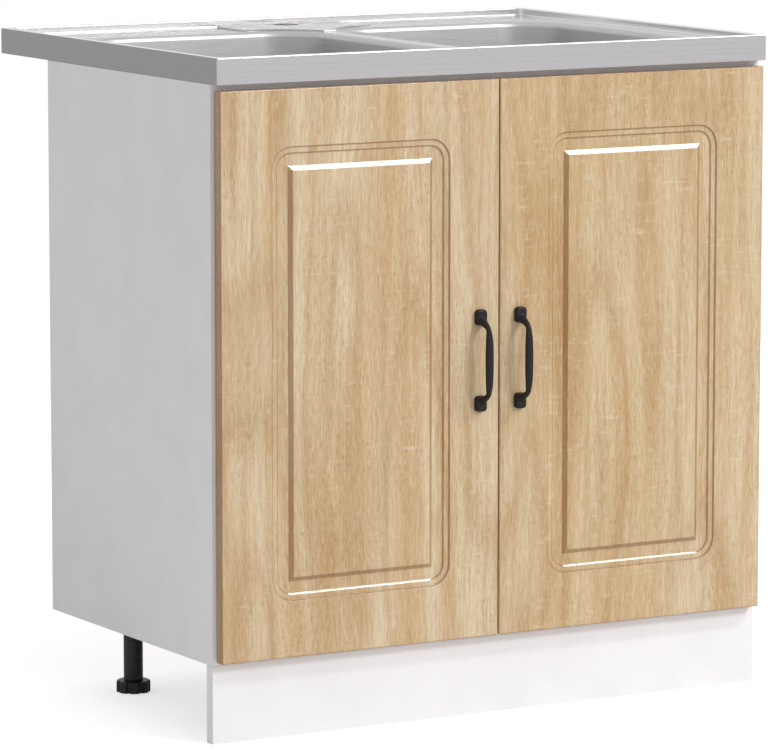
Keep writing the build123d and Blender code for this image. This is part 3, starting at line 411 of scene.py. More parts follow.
# Steel plated with zinc and passivated: cool grey with a mottled spangle.
ZINC = Finish(
    "zinc_plate", "#C2C6CA", 0.36,
    (Layer(even(1.6), 0.45, 0.65, "#9CA2A8", 0.6),), Relief(even(0.8), 0.006, 0.07), 1.0,
)
# Moulded black rubber: matt, with a dusty bloom.
RUBBER = Finish(
    "black_rubber", "#161616", 0.75,
    (Layer(even(3), 0.45, 0.7, "#222222", 0.6),), Relief(even(0.6), 0.02, 0.06),
)
# Cast clear polyurethane: a soft lens that lets the board behind it through.
CLEAR = Finish(
    "clear_bumper", "#EDF1F0", 0.22,
    (Layer(even(2), 0.45, 0.7, "#DDE3E2", 0.5),), Relief(even(1.5), 0.01),
    extra=(("Transmission Weight", 0.6), ("IOR", 1.41)),
)


def mount(name: str) -> dict[str, Any]:
    """Returns the record's mount of a name."""
    return next(m for m in frame["record"]["mounts"] if m["name"] == name)


def linked(obj: Obj) -> Obj:
    """Puts an object in the scene and returns it."""
    bpy.context.scene.collection.objects.link(obj)
    return obj


def discard(obj: Obj) -> None:
    """Removes an object and its mesh."""
    mesh = obj.data
    bpy.data.objects.remove(obj)
    bpy.data.meshes.remove(mesh)


def from_bmesh(name: str, shape: Shape, turned: bool = True) -> Obj:
    """Turns an edited mesh into an object.

    Args:
        name: the object's name.
        shape: the edited mesh, which is freed.
        turned: whether its faces are turned outward first.

    Returns:
        The object.
    """
    if turned:
        bmesh.ops.recalc_face_normals(shape, faces=shape.faces)
    mesh = bpy.data.meshes.new(name)
    shape.to_mesh(mesh)
    shape.free()
    return linked(bpy.data.objects.new(name, mesh))


def skinned(name: str, *skins: Loops) -> Obj:
    """Builds an object from closed skins.

    Args:
        name: the object's name.
        skins: runs of loops with the same number of points each. Faces join them and close both ends.

    Returns:
        The object.
    """
    shape = bmesh.new()
    for loops in skins:
        rings = [[shape.verts.new(point) for point in loop] for loop in loops]
        count = len(rings[0])
        for near, far in zip(rings, rings[1:]):
            for index in range(count):
                after = (index + 1) % count
                shape.faces.new((near[index], near[after], far[after], far[index]))
        shape.faces.new(rings[0])
        shape.faces.new(rings[-1])
    return from_bmesh(name, shape)


def terraces(
    section: Iterable[Triple], width: float, height: float, place: Callable[..., Vector], steps: int = 8
) -> Loops:
    """Lists the loops of a stepped shape, each of them a rectangle with rounded corners.

    Args:
        section: each loop's inset from the edge, its level and its corner radius, in mm.
        width: the shape's full width.
        height: its full height.
        place: makes a point of two coordinates about the shape's middle and a level.
        steps: how many pieces each corner's arc has.

    Returns:
        The loops, for skinned.
    """
    loops = []
    for inset, level, corner in section:
        loop = []
        radius = corner * MM
        for quarter, (right, up) in enumerate(((1, 1), (-1, 1), (-1, -1), (1, -1))):
            centre_x = right * ((width - 2 * inset * MM) / 2 - radius)
            centre_y = up * ((height - 2 * inset * MM) / 2 - radius)
            for step in range(steps + 1):
                angle = math.pi / 2 * (quarter + step / steps)
                x, y = centre_x + radius * math.cos(angle), centre_y + radius * math.sin(angle)
                loop.append(place(x, y, level * MM))
        loops.append(loop)
    return loops


def over(left: float, front: float) -> Callable[..., Vector]:
    """Returns a place for terraces that lie level over a point."""
    return lambda x, y, z: Vector((left + x, front + y, z))


def quarter_round(radius: float, steps: int) -> list[tuple[float, float]]:
    """Lists the insets from the side face and the depths under the flat face of a rounded edge's points."""
    angles = [math.pi / 2 * step / steps for step in range(steps + 1)]
    return [(radius - radius * math.cos(a), radius - radius * math.sin(a)) for a in angles]


def lathe(profile: Pairs, place: Matrix, segments: int) -> Loops:
    """Lists the loops of a shape turned about Z, from pairs of radius and height, and carried to its place."""
    turns = [2 * math.pi * index / segments for index in range(segments)]
    return [[place @ Vector((r * math.cos(t), r * math.sin(t), h)) for t in turns] for r, h in profile]


def bake(obj: Obj) -> Obj:
    """Turns an object's modifiers into its mesh.

    Args:
        obj: the object.

    Returns:
        The same object, with no modifiers left.
    """
    graph = bpy.context.evaluated_depsgraph_get()
    mesh = bpy.data.meshes.new_from_object(obj.evaluated_get(graph))
    old = obj.data
    obj.modifiers.clear()
    obj.data = mesh
    bpy.data.meshes.remove(old)
    return obj


def soften(obj: Obj, angle: float = BOARD_EDGE) -> Obj:
    """Shades an object smooth, with flat faces kept flat and sharp edges where faces meet at more than an angle.

    Args:
        obj: the object.
        angle: the angle in degrees.

    Returns:
        The same object.
    """
    obj.data.polygons.foreach_set("use_smooth", [True] * len(obj.data.polygons))
    obj.data.set_sharp_from_angle(angle=math.radians(angle))
    level = obj.modifiers.new("even", "WEIGHTED_NORMAL")
    level.keep_sharp = True
    level.weight = FLAT_WEIGHT
    return bake(obj)


def round_edges(obj: Obj, width: float, sharp: float = 40.0) -> Obj:
    """Rounds an object's sharp edges.

    Args:
        obj: the object.
        width: the rounding's width, in mm.
        sharp: the angle in degrees past which an edge is rounded.

    Returns:
        The same object.
    """
    bevel = obj.modifiers.new("round", "BEVEL")
    bevel.width = width * MM
    bevel.segments = 2
    bevel.limit_method = "ANGLE"
    bevel.angle_limit = math.radians(sharp)
    return bake(obj)


def combine(obj: Obj, other: Obj, operation: str = "DIFFERENCE") -> Obj:
    """Cuts one closed shape out of another, or joins the two, and removes the second.

    Args:
        obj: the shape that stays.
        other: the shape that is taken out or joined.
        operation: the kind of boolean.

    Returns:
        The object that stays.
    """
    boolean = obj.modifiers.new("combine", "BOOLEAN")
    boolean.operation = operation
    boolean.solver = "EXACT"
    boolean.object = other
    bake(obj)
    discard(other)
    return obj


def welded(node: str) -> Shape:
    """Copies a CAD piece's mesh and welds its loose triangles.

    Args:
        node: the piece's node name.

    Returns:
        The mesh, open to edits.
    """
    shape = bmesh.new()
    shape.from_mesh(frame["nodes"][node].data)
    bmesh.ops.remove_doubles(shape, verts=shape.verts, dist=WELD)
    return shape


def islands(node: str) -> list[tuple[Vector, Vector]]:
    """Lists the boxes of a CAD piece's separate solids.

    Args:
        node: the piece's node name.

    Returns:
        The lowest and highest corner of each solid.
    """
    shape = welded(node)
    waiting = set(shape.verts)
    boxes = []
    for first in shape.verts:
        if first not in waiting:
            continue
        waiting.remove(first)
        stack = [first]
        low, high = first.co.copy(), first.co.copy()
        while stack:
            here = stack.pop()
            for axis in range(3):
                low[axis] = min(low[axis], here.co[axis])
                high[axis] = max(high[axis], here.co[axis])
            for edge in here.link_edges:
                other = edge.other_vert(here)
                if other in waiting:
                    waiting.remove(other)
                    stack.append(other)
        boxes.append((low, high))
    shape.free()
    return boxes


def paint_faces(obj: Obj, index: int, test: Callable[[Face], bool]) -> None:
    """Gives the faces that pass a test another material index."""
    for face in filter(test, obj.data.polygons):
        face.material_index = index


@dataclass
class Piece:
    """A finished object, the CAD nodes that it stands for, and its finishes."""

    obj: Obj
    nodes: tuple[str, ...]
    slot: Slot
    finishes: tuple[Finish, ...]

    def settle(self) -> None:
        """Paints the object, ties it to its body and hides the CAD pieces that it stands for."""
        for finish in self.finishes:
            self.obj.data.materials.append(finish.material())
        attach(self.obj, frame["nodes"][self.nodes[0]]["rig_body"])
        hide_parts(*self.nodes)


@dataclass
class Assembly:
    """A group of pieces that is built, then dressed."""

    pieces: list[Piece] = field(default_factory=list)

    def build(self) -> None:
        """Builds the group's pieces."""
        raise NotImplementedError

    def add(self, obj: Obj, node: str, slot: Slot, *finishes: Finish) -> None:
        """Keeps an object as the piece of a CAD node, with a slot of the record and a finish for each index."""
        self.pieces.append(Piece(obj, (node,), slot, finishes))

    def copy(
        self, name: str, node: str, slot: Slot, finish: Finish, width: float = 0.0, angle: float = BOARD_EDGE
    ) -> None:
        """Keeps a softened copy of a CAD piece.

        Args:
            name: the copy's name.
            node: the CAD node.
            slot: the record's material slot.
            finish: the finish.
            width: the width in mm that its edges are rounded by, or none.
            angle: the angle in degrees past which its edges stay sharp.
        """
        obj = from_bmesh(name, welded(node), turned=False)
        if width:
            round_edges(obj, width)
        self.add(soften(obj, angle), node, slot, finish)

    def dress(self) -> None:
        """Paints, places and reports every piece."""
        for piece in self.pieces:
            piece.settle()
            LOG.info("%s: %s for %s", type(self).__name__, piece.obj.name, ", ".join(piece.nodes))


BACK, TOP, UNDER = Vector((0, 1, 0)), Vector((0, 0, 1)), Vector((0, 0, -1))
RAW_WAYS = {
    "side_panel_left": (BACK, TOP, UNDER),
    "side_panel_right": (BACK, TOP, UNDER),
    "bottom_panel": (BACK,),
    "front_rail": (TOP,),
    "rear_rail": (TOP, UNDER),
    "plinth": (),
}


@dataclass
class Carcass(Assembly):
    """The boards, with raw chipboard where no edge band covers them, and the joints between them. Sizes in mm."""

    edge: float = 0.5
    edge_share: float = 8.0
    drill_reach: float = 20.0
    raw_way: float = 0.9
    face_way: float = -0.5

    def build(self) -> None:
        """Builds the boards, the thin back and the hidden joints."""
        for node, ways in RAW_WAYS.items():
            board = self._board(node)
            if node == "rear_rail":
                self._drill(board)
            soften(board)
            paint_faces(board, 1, lambda face, ways=ways: any(face.normal.dot(way) > self.raw_way for way in ways))
            self.add(board, node, Slot.WHITE_BOARD, WHITE, CHIPBOARD)
        back = self._board("back_panel")
        paint_faces(back, 1, lambda face: face.normal.y > self.face_way)
        self.add(back, "back_panel", Slot.HARDBOARD, WHITE, FIBREBOARD)
        self.copy("dowel_set", "dowels", Slot.BEECH, BEECH)
        self.copy("cam_bolt_set", "cam_bolts", Slot.ZINC, ZINC)

    def _board(self, node: str) -> Obj:
        """Builds a board with slightly rounded edges in a CAD board's box.

        Args:
            node: the CAD board.

        Returns:
            The board.
        """
        low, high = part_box(node)
        shape = bmesh.new()
        bmesh.ops.create_cube(shape, size=1.0)
        size = high - low
        bmesh.ops.scale(shape, vec=size, verts=shape.verts)
        bmesh.ops.translate(shape, vec=(low + high) / 2, verts=shape.verts)
        board = from_bmesh(f"{node}_board", shape)
        return round_edges(board, min(self.edge, min(size) / MM / self.edge_share))

    def _drill(self, board: Obj) -> None:
        """Drills the wall fixing holes of the rear rail, at the place that the record's mount gives.

        Args:
            board: the rear rail.
        """
        fixing = mount("wall_fixing")
        aside = fixing["dims"]["spacing_x_mm"] / 2 * MM
        radius = fixing["dims"]["hole_r_mm"] * MM
        depths = (-self.drill_reach * MM, self.drill_reach * MM)
        drills = []
        for side in Side:
            centre = Vector(fixing["pos_m"]) + Vector((side.value * aside, 0, 0))
            place = Matrix.Translation(centre) @ Matrix.Rotation(math.pi / 2, 4, "X")
            drills.append(lathe([(radius, depth) for depth in depths], place, segments=32))
        combine(board, skinned("wall_drill", *drills))


ROUTED = (
    (70.4, 0.0, 28.1), (70.8, 0.12, 27.7), (71.1, 0.45, 27.4), (72.0, 1.72, 26.5), (72.7, 2.0, 25.8),
    (78.0, 2.0, 20.5), (78.5, 2.12, 20.0), (80.45, 3.76, 18.05), (81.3, 4.0, 17.2),
    (94.4, 4.0, 0.6), (95.2, 3.82, 0.5), (100.6, 0.2, 0.4), (101.4, 0.0, 0.4),
)
ARM = (
    (1.0, 13.0, 13.0, 13.0), (6.0, 14.6, 12.4, 10.6), (11.0, 16.6, 10.6, 8.8), (15.6, 18.6, 8.6, 7.6),
    (19.6, 20.9, 7.2, 6.9), (22.4, 24.4, 6.9, 6.5), (23.5, 29.5, 8.2, 6.4), (24.2, 38.0, 10.2, 6.6),
    (24.4, 50.0, 11.2, 6.9),
)
GRIP = (24.5, 0.0, 11.5, 7.0)
PAD = ((0.0, 0.0, 4.6), (0.0, 5.0, 4.6), (0.4, 6.1, 4.4), (1.2, 6.8, 4.0), (2.4, 7.1, 3.2))
DOME = (0.0, 0.2, 0.45, 0.75, 1.05, 1.35, 1.52)


@dataclass
class Door(Assembly):
    """One door: a foil-wrapped slab with two routed steps and a raised field, its handle and its bumpers.

    Sizes are in mm. ROUTED gives the inset, the depth and the corner radius of each line of the routing. ARM gives
    the handle's arm from its end to its grip: the height over the door, the distance from the handle's end, the
    width and the thickness. PAD gives the inset, the height and the corner radius of each line of a handle's pad,
    and DOME the angles of a bumper's section.
    """

    side: Side = Side.LEFT
    round_front: float = 1.8
    round_back: float = 1.5
    corner: float = 0.8
    least_corner: float = 0.15
    edge_reach: float = 2.5
    meeting_reach: float = 4.0
    cup_width: float = 35.2
    cup_depth: float = 13.0
    cup_middle: float = 17.5
    cutter_over: float = 2.0
    pad_height: float = 20.0
    pad_over: float = 1.0
    arm_points: int = 28
    voxel: float = 0.45
    smoothing: tuple[float, int] = (0.5, 4)
    front_way: float = -0.93
    wall_way: float = -0.1
    back_way: float = 0.5

    def build(self) -> None:
        """Builds the slab, the handle and the bumpers."""
        tag = self.side.tag
        slab = self._slab(f"door_{tag}")
        self._bore(slab, f"door_{tag}")
        soften(slab, ROUTED_EDGE)
        # Faces off the front take the edge finish with its painted shade, except the edge that meets the other door.
        paint_faces(slab, 2, lambda face: face.normal.y > self.front_way and not self._meets(face))
        paint_faces(slab, 1, lambda face: face.normal.y > self.wall_way and self._inside(face))
        paint_faces(slab, 1, lambda face: face.normal.y > self.back_way)
        self.add(slab, f"door_{tag}", Slot.OAK_FOIL, OAK[self.side], WHITE, OAK_SHADED_EDGE[self.side])
        self.add(self._handle(f"handle_{tag}"), f"handle_{tag}", Slot.BLACK_METAL, POWDER_COAT)
        self.add(self._bumpers(f"door_bumpers_{tag}"), f"door_bumpers_{tag}", Slot.CLEAR_BUMPER, CLEAR)

    def _inside(self, face: Face) -> bool:
        """Tells whether a face lies in from the slab's own edges, as a bore's wall does."""
        (low, high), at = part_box(f"door_{self.side.tag}"), face.center
        return min(at.x - low.x, high.x - at.x, at.z - low.z, high.z - at.z) > self.edge_reach * MM

    def _meets(self, face: Face) -> bool:
        """Tells whether a face lies on the edge that meets the other door, which is left without the painted shade of
        the other edges.
        """
        return abs(face.center.x) < self.meeting_reach * MM

    def _slab(self, node: str) -> Obj:
        """Builds the slab from loops that run from the middle of its back, round its edge, to the raised field.

        Args:
            node: the CAD door.

        Returns:
            The slab.
        """
        low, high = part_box(node)
        middle = (low + high) / 2
        size = high - low
        thick = size.y / MM
        back = [(i, thick - d) for i, d in reversed(quarter_round(self.round_back, steps=3))]
        edge = back + quarter_round(self.round_front, steps=6)
        section = [*((i, d, max(self.corner - i, self.least_corner)) for i, d in edge), *ROUTED]
        return skinned(f"{node}_slab", terraces(
            section, size.x, size.z, lambda x, z, depth: Vector((middle.x + x, low.y + depth, middle.z + z))
        ))

    def _bore(self, slab: Obj, node: str) -> None:
        """Bores the hinge cups' holes in the slab's back.

        Args:
            slab: the slab.
            node: the CAD door.
        """
        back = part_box(node)[1].y
        bores = []
        for level in ("lower", "upper"):
            low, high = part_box(f"hinge_cup_{self.side.tag}_{level}")
            radius = (back - low.y) / 2 / self.cup_depth * self.cup_width
            edge = low.x if self.side is Side.LEFT else high.x
            centre = Vector((edge - self.side.value * self.cup_middle * MM, back, (low.z + high.z) / 2))
            place = Matrix.Translation(centre) @ Matrix.Rotation(math.pi / 2, 4, "X")
            bores.append(lathe([(radius, self.cup_depth * MM), (radius, -self.cutter_over * MM)], place, segments=64))
        combine(slab, skinned("cup_drill", *bores))

    @staticmethod
    def _curve(points: Sequence[Sequence[float]], steps: int) -> list[list[float]]:
        """Runs a Catmull-Rom curve through points of any number of values.

        Args:
            points: the points.
            steps: how many pieces lie between two points.

        Returns:
            The points of the curve.
        """
        padded = [points[0], *points, points[-1]]
        curve = []
        for index in range(len(points) - 1):
            a, b, c, d = padded[index:index + 4]
            for step in range(steps):
                t = step / steps
                curve.append([
                    0.5 * (2 * q + (r - p) * t + (2 * p - 5 * q + 4 * r - s) * t**2 + (3 * q - p - 3 * r + s) * t**3)
                    for p, q, r, s in zip(a, b, c, d)
                ])
        curve.append(list(points[-1]))
        return curve

    def _arm(self, middle: Vector, door: float, half: float) -> Loops:
        """Lists the loops of the handle's arm, which swells into the grip.

        Args:
            middle: the middle of the handle's box.
            door: the door's front.
            half: half the handle's length, in mm.

        Returns:
            The loops, for skinned.
        """
        arm = [*((d, half - z, w, t) for d, z, w, t in ARM), GRIP]
        stations = self._curve(arm + [(d, -z, w, t) for d, z, w, t in reversed(arm[:-1])], steps=6)
        turns = [2 * math.pi * i / self.arm_points for i in range(self.arm_points)]
        loops = []
        for index, (depth, up, width, thick) in enumerate(stations):
            before = stations[max(index - 1, 0)]
            after = stations[min(index + 1, len(stations) - 1)]
            along = Vector((0, before[0] - after[0], after[1] - before[1])).normalized()
            across = Vector((1, 0, 0)).cross(along)
            centre = Vector((middle.x, door - depth * MM, middle.z + up * MM))
            loops.append([
                centre + Vector((math.cos(a) * width / 2 * MM, 0, 0)) + across * (math.sin(a) * thick / 2 * MM)
                for a in turns
            ])
        return loops

    def _handle(self, node: str) -> Obj:
        """Builds a cast bow handle: two pads and an arm, blended into one form.

        Args:
            node: the CAD handle.

        Returns:
            The handle.
        """
        low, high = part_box(node)
        middle = (low + high) / 2
        half = (high.z - low.z) / 2 / MM
        skins = [self._arm(middle, high.y, half)]
        for sign in (-1, 1):
            seat = Vector((middle.x, high.y, middle.z + sign * (half - self.pad_height / 2) * MM))
            skins.append(terraces(
                PAD, high.x - low.x + self.pad_over * MM, self.pad_height * MM,
                lambda x, z, depth, seat=seat: seat + Vector((x, -depth, z)), steps=6,
            ))
        handle = skinned(f"{node}_casting", *skins)
        remesh = handle.modifiers.new("blend", "REMESH")
        remesh.mode = "VOXEL"
        remesh.voxel_size = self.voxel * MM
        smooth = handle.modifiers.new("even", "SMOOTH")
        smooth.factor, smooth.iterations = self.smoothing
        return soften(bake(handle), CAST_EDGE)

    @staticmethod
    def _bumpers(node: str) -> Obj:
        """Builds the domed stick-on bumpers on the door's back.

        Args:
            node: the CAD bumpers.

        Returns:
            The bumpers.
        """
        domes = []
        for low, high in islands(node):
            radius = (high.x - low.x) / 2
            height = high.y - low.y
            seat = Vector(((low.x + high.x) / 2, low.y, (low.z + high.z) / 2))
            place = Matrix.Translation(seat) @ Matrix.Rotation(-math.pi / 2, 4, "X")
            domes.append(lathe([(radius * math.cos(a), height * math.sin(a)) for a in DOME], place, segments=32))
        return soften(skinned(f"{node}_domes", *domes), CAST_EDGE)


WASTE = (
    ("waste_body", Slot.STAINLESS, STEEL_DRAWN),
    ("strainer_basket", Slot.STAINLESS, STEEL_DRAWN),
    ("waste_gasket", Slot.RUBBER, RUBBER),
    ("waste_nut", Slot.BLACK_PLASTIC, BLACK_PLASTIC),
)


@dataclass
class Sink(Assembly):
    """The sink top, its two bowls, and a basket waste in each. Sizes are in mm."""

    fold: float = 1.2
    rim: float = 9.0
    drop: float = 9.5
    sheet: float = 1.0
    flange: float = 25.0
    hem: float = 0.4
    corner: float = 2.5
    inner_corner: float = 2.0
    deck_corner: float = 12.0
    lip_corner: float = 74.0
    side_reach: float = 0.5
    crest_reach: float = 0.4
    crest_way: float = 0.5
    wall_way: float = -0.7
    bright_wall: tuple[float, float] = (5.0, 12.0)
    cut_levels: tuple[float, float] = (-6.0, 2.0)
    drill_reach: float = 20.0
    platform_width: float = 190.0
    platform_corner: float = 14.0
    platform_edge: float = 0.8
    platform_root: float = 0.5
    platform_front: float = 22.0
    platform_back: float = 18.0
    bowl_margin: float = 6.0
    trim_reach: float = 10.0
    edge: float = 0.3

    def build(self) -> None:
        """Builds the pressed top, the bowls and the wastes."""
        low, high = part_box("sink_top")
        top = soften(self._pressing(), SHEET_EDGE)
        side = self.side_reach * MM
        # The side skirts take the steel with painted shade. The rim's top and the right end's inner wall take the
        # steel with a painted highlight.
        paint_faces(top, 1, lambda face: min(face.center.x - low.x, high.x - face.center.x) < side)
        paint_faces(top, 2, lambda face: self._bright(face, high))
        self.add(top, "sink_top", Slot.STAINLESS, STEEL, STEEL_SHADED_SIDE, STEEL_RIM_PAINTED_BRIGHT)
        for tag in (side.tag for side in Side):
            self.copy(f"bowl_{tag}_drawn", f"bowl_{tag}", Slot.STAINLESS, STEEL_DRAWN, angle=SHEET_EDGE)
            for part, slot, finish in WASTE:
                self.copy(f"{part}_{tag}_turned", f"{part}_{tag}", slot, finish, self.edge, STAMPED_EDGE)
        self.copy("sink_clip_set", "sink_clips", Slot.ZINC, ZINC, self.edge)

    def _bright(self, face: Face, high: Vector) -> bool:
        """Tells whether a face lies on the rim's top or on the inner wall of its right end, where the painted
        highlight goes.

        Args:
            face: the face.
            high: the highest corner of the top's box.

        Returns:
            True for a polished face with the painted highlight.
        """
        aside, under = (high.x - face.center.x) / MM, (high.z - face.center.z) / MM
        near, far = self.bright_wall
        wall = face.normal.x < self.wall_way and near < aside < far and under < self.drop
        return wall or face.normal.z > self.crest_way and under < self.crest_reach

    def _pressing(self) -> Obj:
        """Builds the pressed top: a folded skirt with its flange, a raised rim with crisp folds, and the deck.

        Returns:
            The top, with the platform on it and the openings cut.
        """
        low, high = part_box("sink_top")
        middle = (low + high) / 2
        size = high - low
        bottom, crest = low.z / MM, high.z / MM
        deck, inside = crest - self.drop, bottom + self.sheet
        folds = quarter_round(self.fold, steps=4)
        section = [
            (self.sheet, deck - self.sheet, self.inner_corner), (self.sheet, inside, self.inner_corner),
            (self.flange, inside, self.inner_corner), (self.flange, bottom, self.inner_corner),
            (self.hem, bottom, self.corner), (0.0, bottom + self.hem, self.corner),
            *((i, crest - d, self.corner) for i, d in folds),
            *((self.rim - i, crest - d, self.deck_corner + i) for i, d in reversed(folds)),
            *((self.rim + i, deck + d, self.deck_corner - i) for i, d in folds),
        ]
        sheet = skinned("sink_pressing", terraces(section, size.x, size.y, over(middle.x, middle.y)))
        top = combine(sheet, self._platform(high.y, deck), "UNION")
        tap = mount("tap_hole")
        radius, reach = tap["dims"]["r_mm"] * MM, self.drill_reach * MM
        cuts = [lathe([(radius, -reach), (radius, reach)], Matrix.Translation(tap["pos_m"]), segments=64)]
        for side in Side:
            near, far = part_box(f"bowl_{side.tag}")
            centre, size = (near + far) / 2, far - near
            levels = [(0.0, deck + level, self.lip_corner) for level in self.cut_levels]
            cuts.append(terraces(levels, size.x, size.y, over(centre.x, centre.y), steps=16))
        return combine(top, skinned("sink_openings", *cuts))

    def _platform(self, back: float, deck: float) -> Obj:
        """Builds the raised tap platform, whose front corners follow the bowls.

        Args:
            back: the sink's back, in metres.
            deck: the deck's height, in mm.

        Returns:
            The platform.
        """
        near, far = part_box("bowl_right")
        corner_y = far.y - self.lip_corner * MM
        front, rear = corner_y + self.platform_front * MM, back - self.platform_back * MM
        rise = mount("tap_hole")["pos_m"][2] / MM - deck
        edge = quarter_round(self.platform_edge, steps=4)
        steps = [(0.0, -self.platform_root), *((inset, rise - down) for inset, down in edge)]
        section = [(inset, deck + up, self.platform_corner - inset) for inset, up in steps]
        block = terraces(section, self.platform_width * MM, rear - front, over(0.0, (front + rear) / 2))
        radius, reach = (self.lip_corner + self.bowl_margin) * MM, self.trim_reach * MM
        corners = []
        for side in Side:
            place = Matrix.Translation((side.value * (near.x + self.lip_corner * MM), corner_y, deck * MM))
            corners.append(lathe([(radius, -reach), (radius, reach)], place, segments=128))
        return combine(skinned("tap_platform", block), skinned("platform_corners", *corners))


@dataclass
class Legs(Assembly):
    """The four levelling legs, and the clips that hold the plinth to the front ones.

    Sizes are in mm. Each groove goes into the stem and up from a ring's level, the neck out from the stem and down
    from the top, and the brim in from the flange's edge and down from the top.
    """

    stem: float = 12.5
    bore: float = 8.1
    bore_depth: float = 20.0
    rings: Triple = (8.0, 30.0, 52.0)
    groove: Pairs = ((0.0, 0.0), (0.3, 0.3), (0.3, 0.9), (0.0, 1.2))
    neck: Pairs = ((0.0, 10.0), (1.2, 6.2), (4.0, 4.0))
    brim: Pairs = ((0.8, 4.0), (0.0, 3.2), (0.0, 0.4), (0.4, 0.0))
    stem_edge: float = 0.6
    edge: float = 0.4

    def build(self) -> None:
        """Builds the sockets, the feet and the plinth clips."""
        for place in (f"{row}_{side.tag}" for row in ("front", "rear") for side in Side):
            socket, foot = f"leg_socket_{place}", f"foot_{place}"
            self.add(self._socket(socket), socket, Slot.BLACK_PLASTIC, BLACK_PLASTIC)
            self.copy(f"{foot}_moulded", foot, Slot.BLACK_PLASTIC, BLACK_PLASTIC, self.edge, STAMPED_EDGE)
        self.copy("plinth_clip_set", "plinth_clips", Slot.GREY_PLASTIC, GREY_PLASTIC, self.edge, STAMPED_EDGE)

    def _socket(self, node: str) -> Obj:
        """Builds a moulded leg socket: a flange, and a hollow stem with rings.

        Args:
            node: the CAD socket.

        Returns:
            The socket.
        """
        low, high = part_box(node)
        middle = (low + high) / 2
        flange, tall = (high.x - low.x) / 2 / MM, (high.z - low.z) / MM
        stem, bore = self.stem, self.bore
        profile = [
            (bore, self.bore_depth), (bore, 0.0), (stem - self.stem_edge, 0.0), (stem, self.stem_edge),
            *((stem - inward, ring + up) for ring in self.rings for inward, up in self.groove),
            *((stem + outward, tall - down) for outward, down in self.neck),
            *((flange - inward, tall - down) for inward, down in self.brim), (bore, tall),
        ]
        place = Matrix.Translation((middle.x, middle.y, low.z))
        loops = lathe([(r * MM, h * MM) for r, h in profile], place, segments=64)
        return soften(skinned(f"{node}_moulded", loops), TURNED_EDGE)


@dataclass
class Hinges(Assembly):
    """The concealed hinges: cups and pins in the doors, arms and mounting plates on the sides. Sizes are in mm."""

    edge: float = 0.25

    def build(self) -> None:
        """Builds every hinge's pieces with rounded stamped edges."""
        for side in Side:
            pins = f"hinge_pins_{side.tag}"
            self.copy(f"{pins}_turned", pins, Slot.ZINC, ZINC)
            for level in ("lower", "upper"):
                for part in ("hinge_cup", "hinge_arm", "hinge_plate"):
                    node = f"{part}_{side.tag}_{level}"
                    self.copy(f"{node}_stamped", node, Slot.NICKEL, NICKEL, self.edge, STAMPED_EDGE)


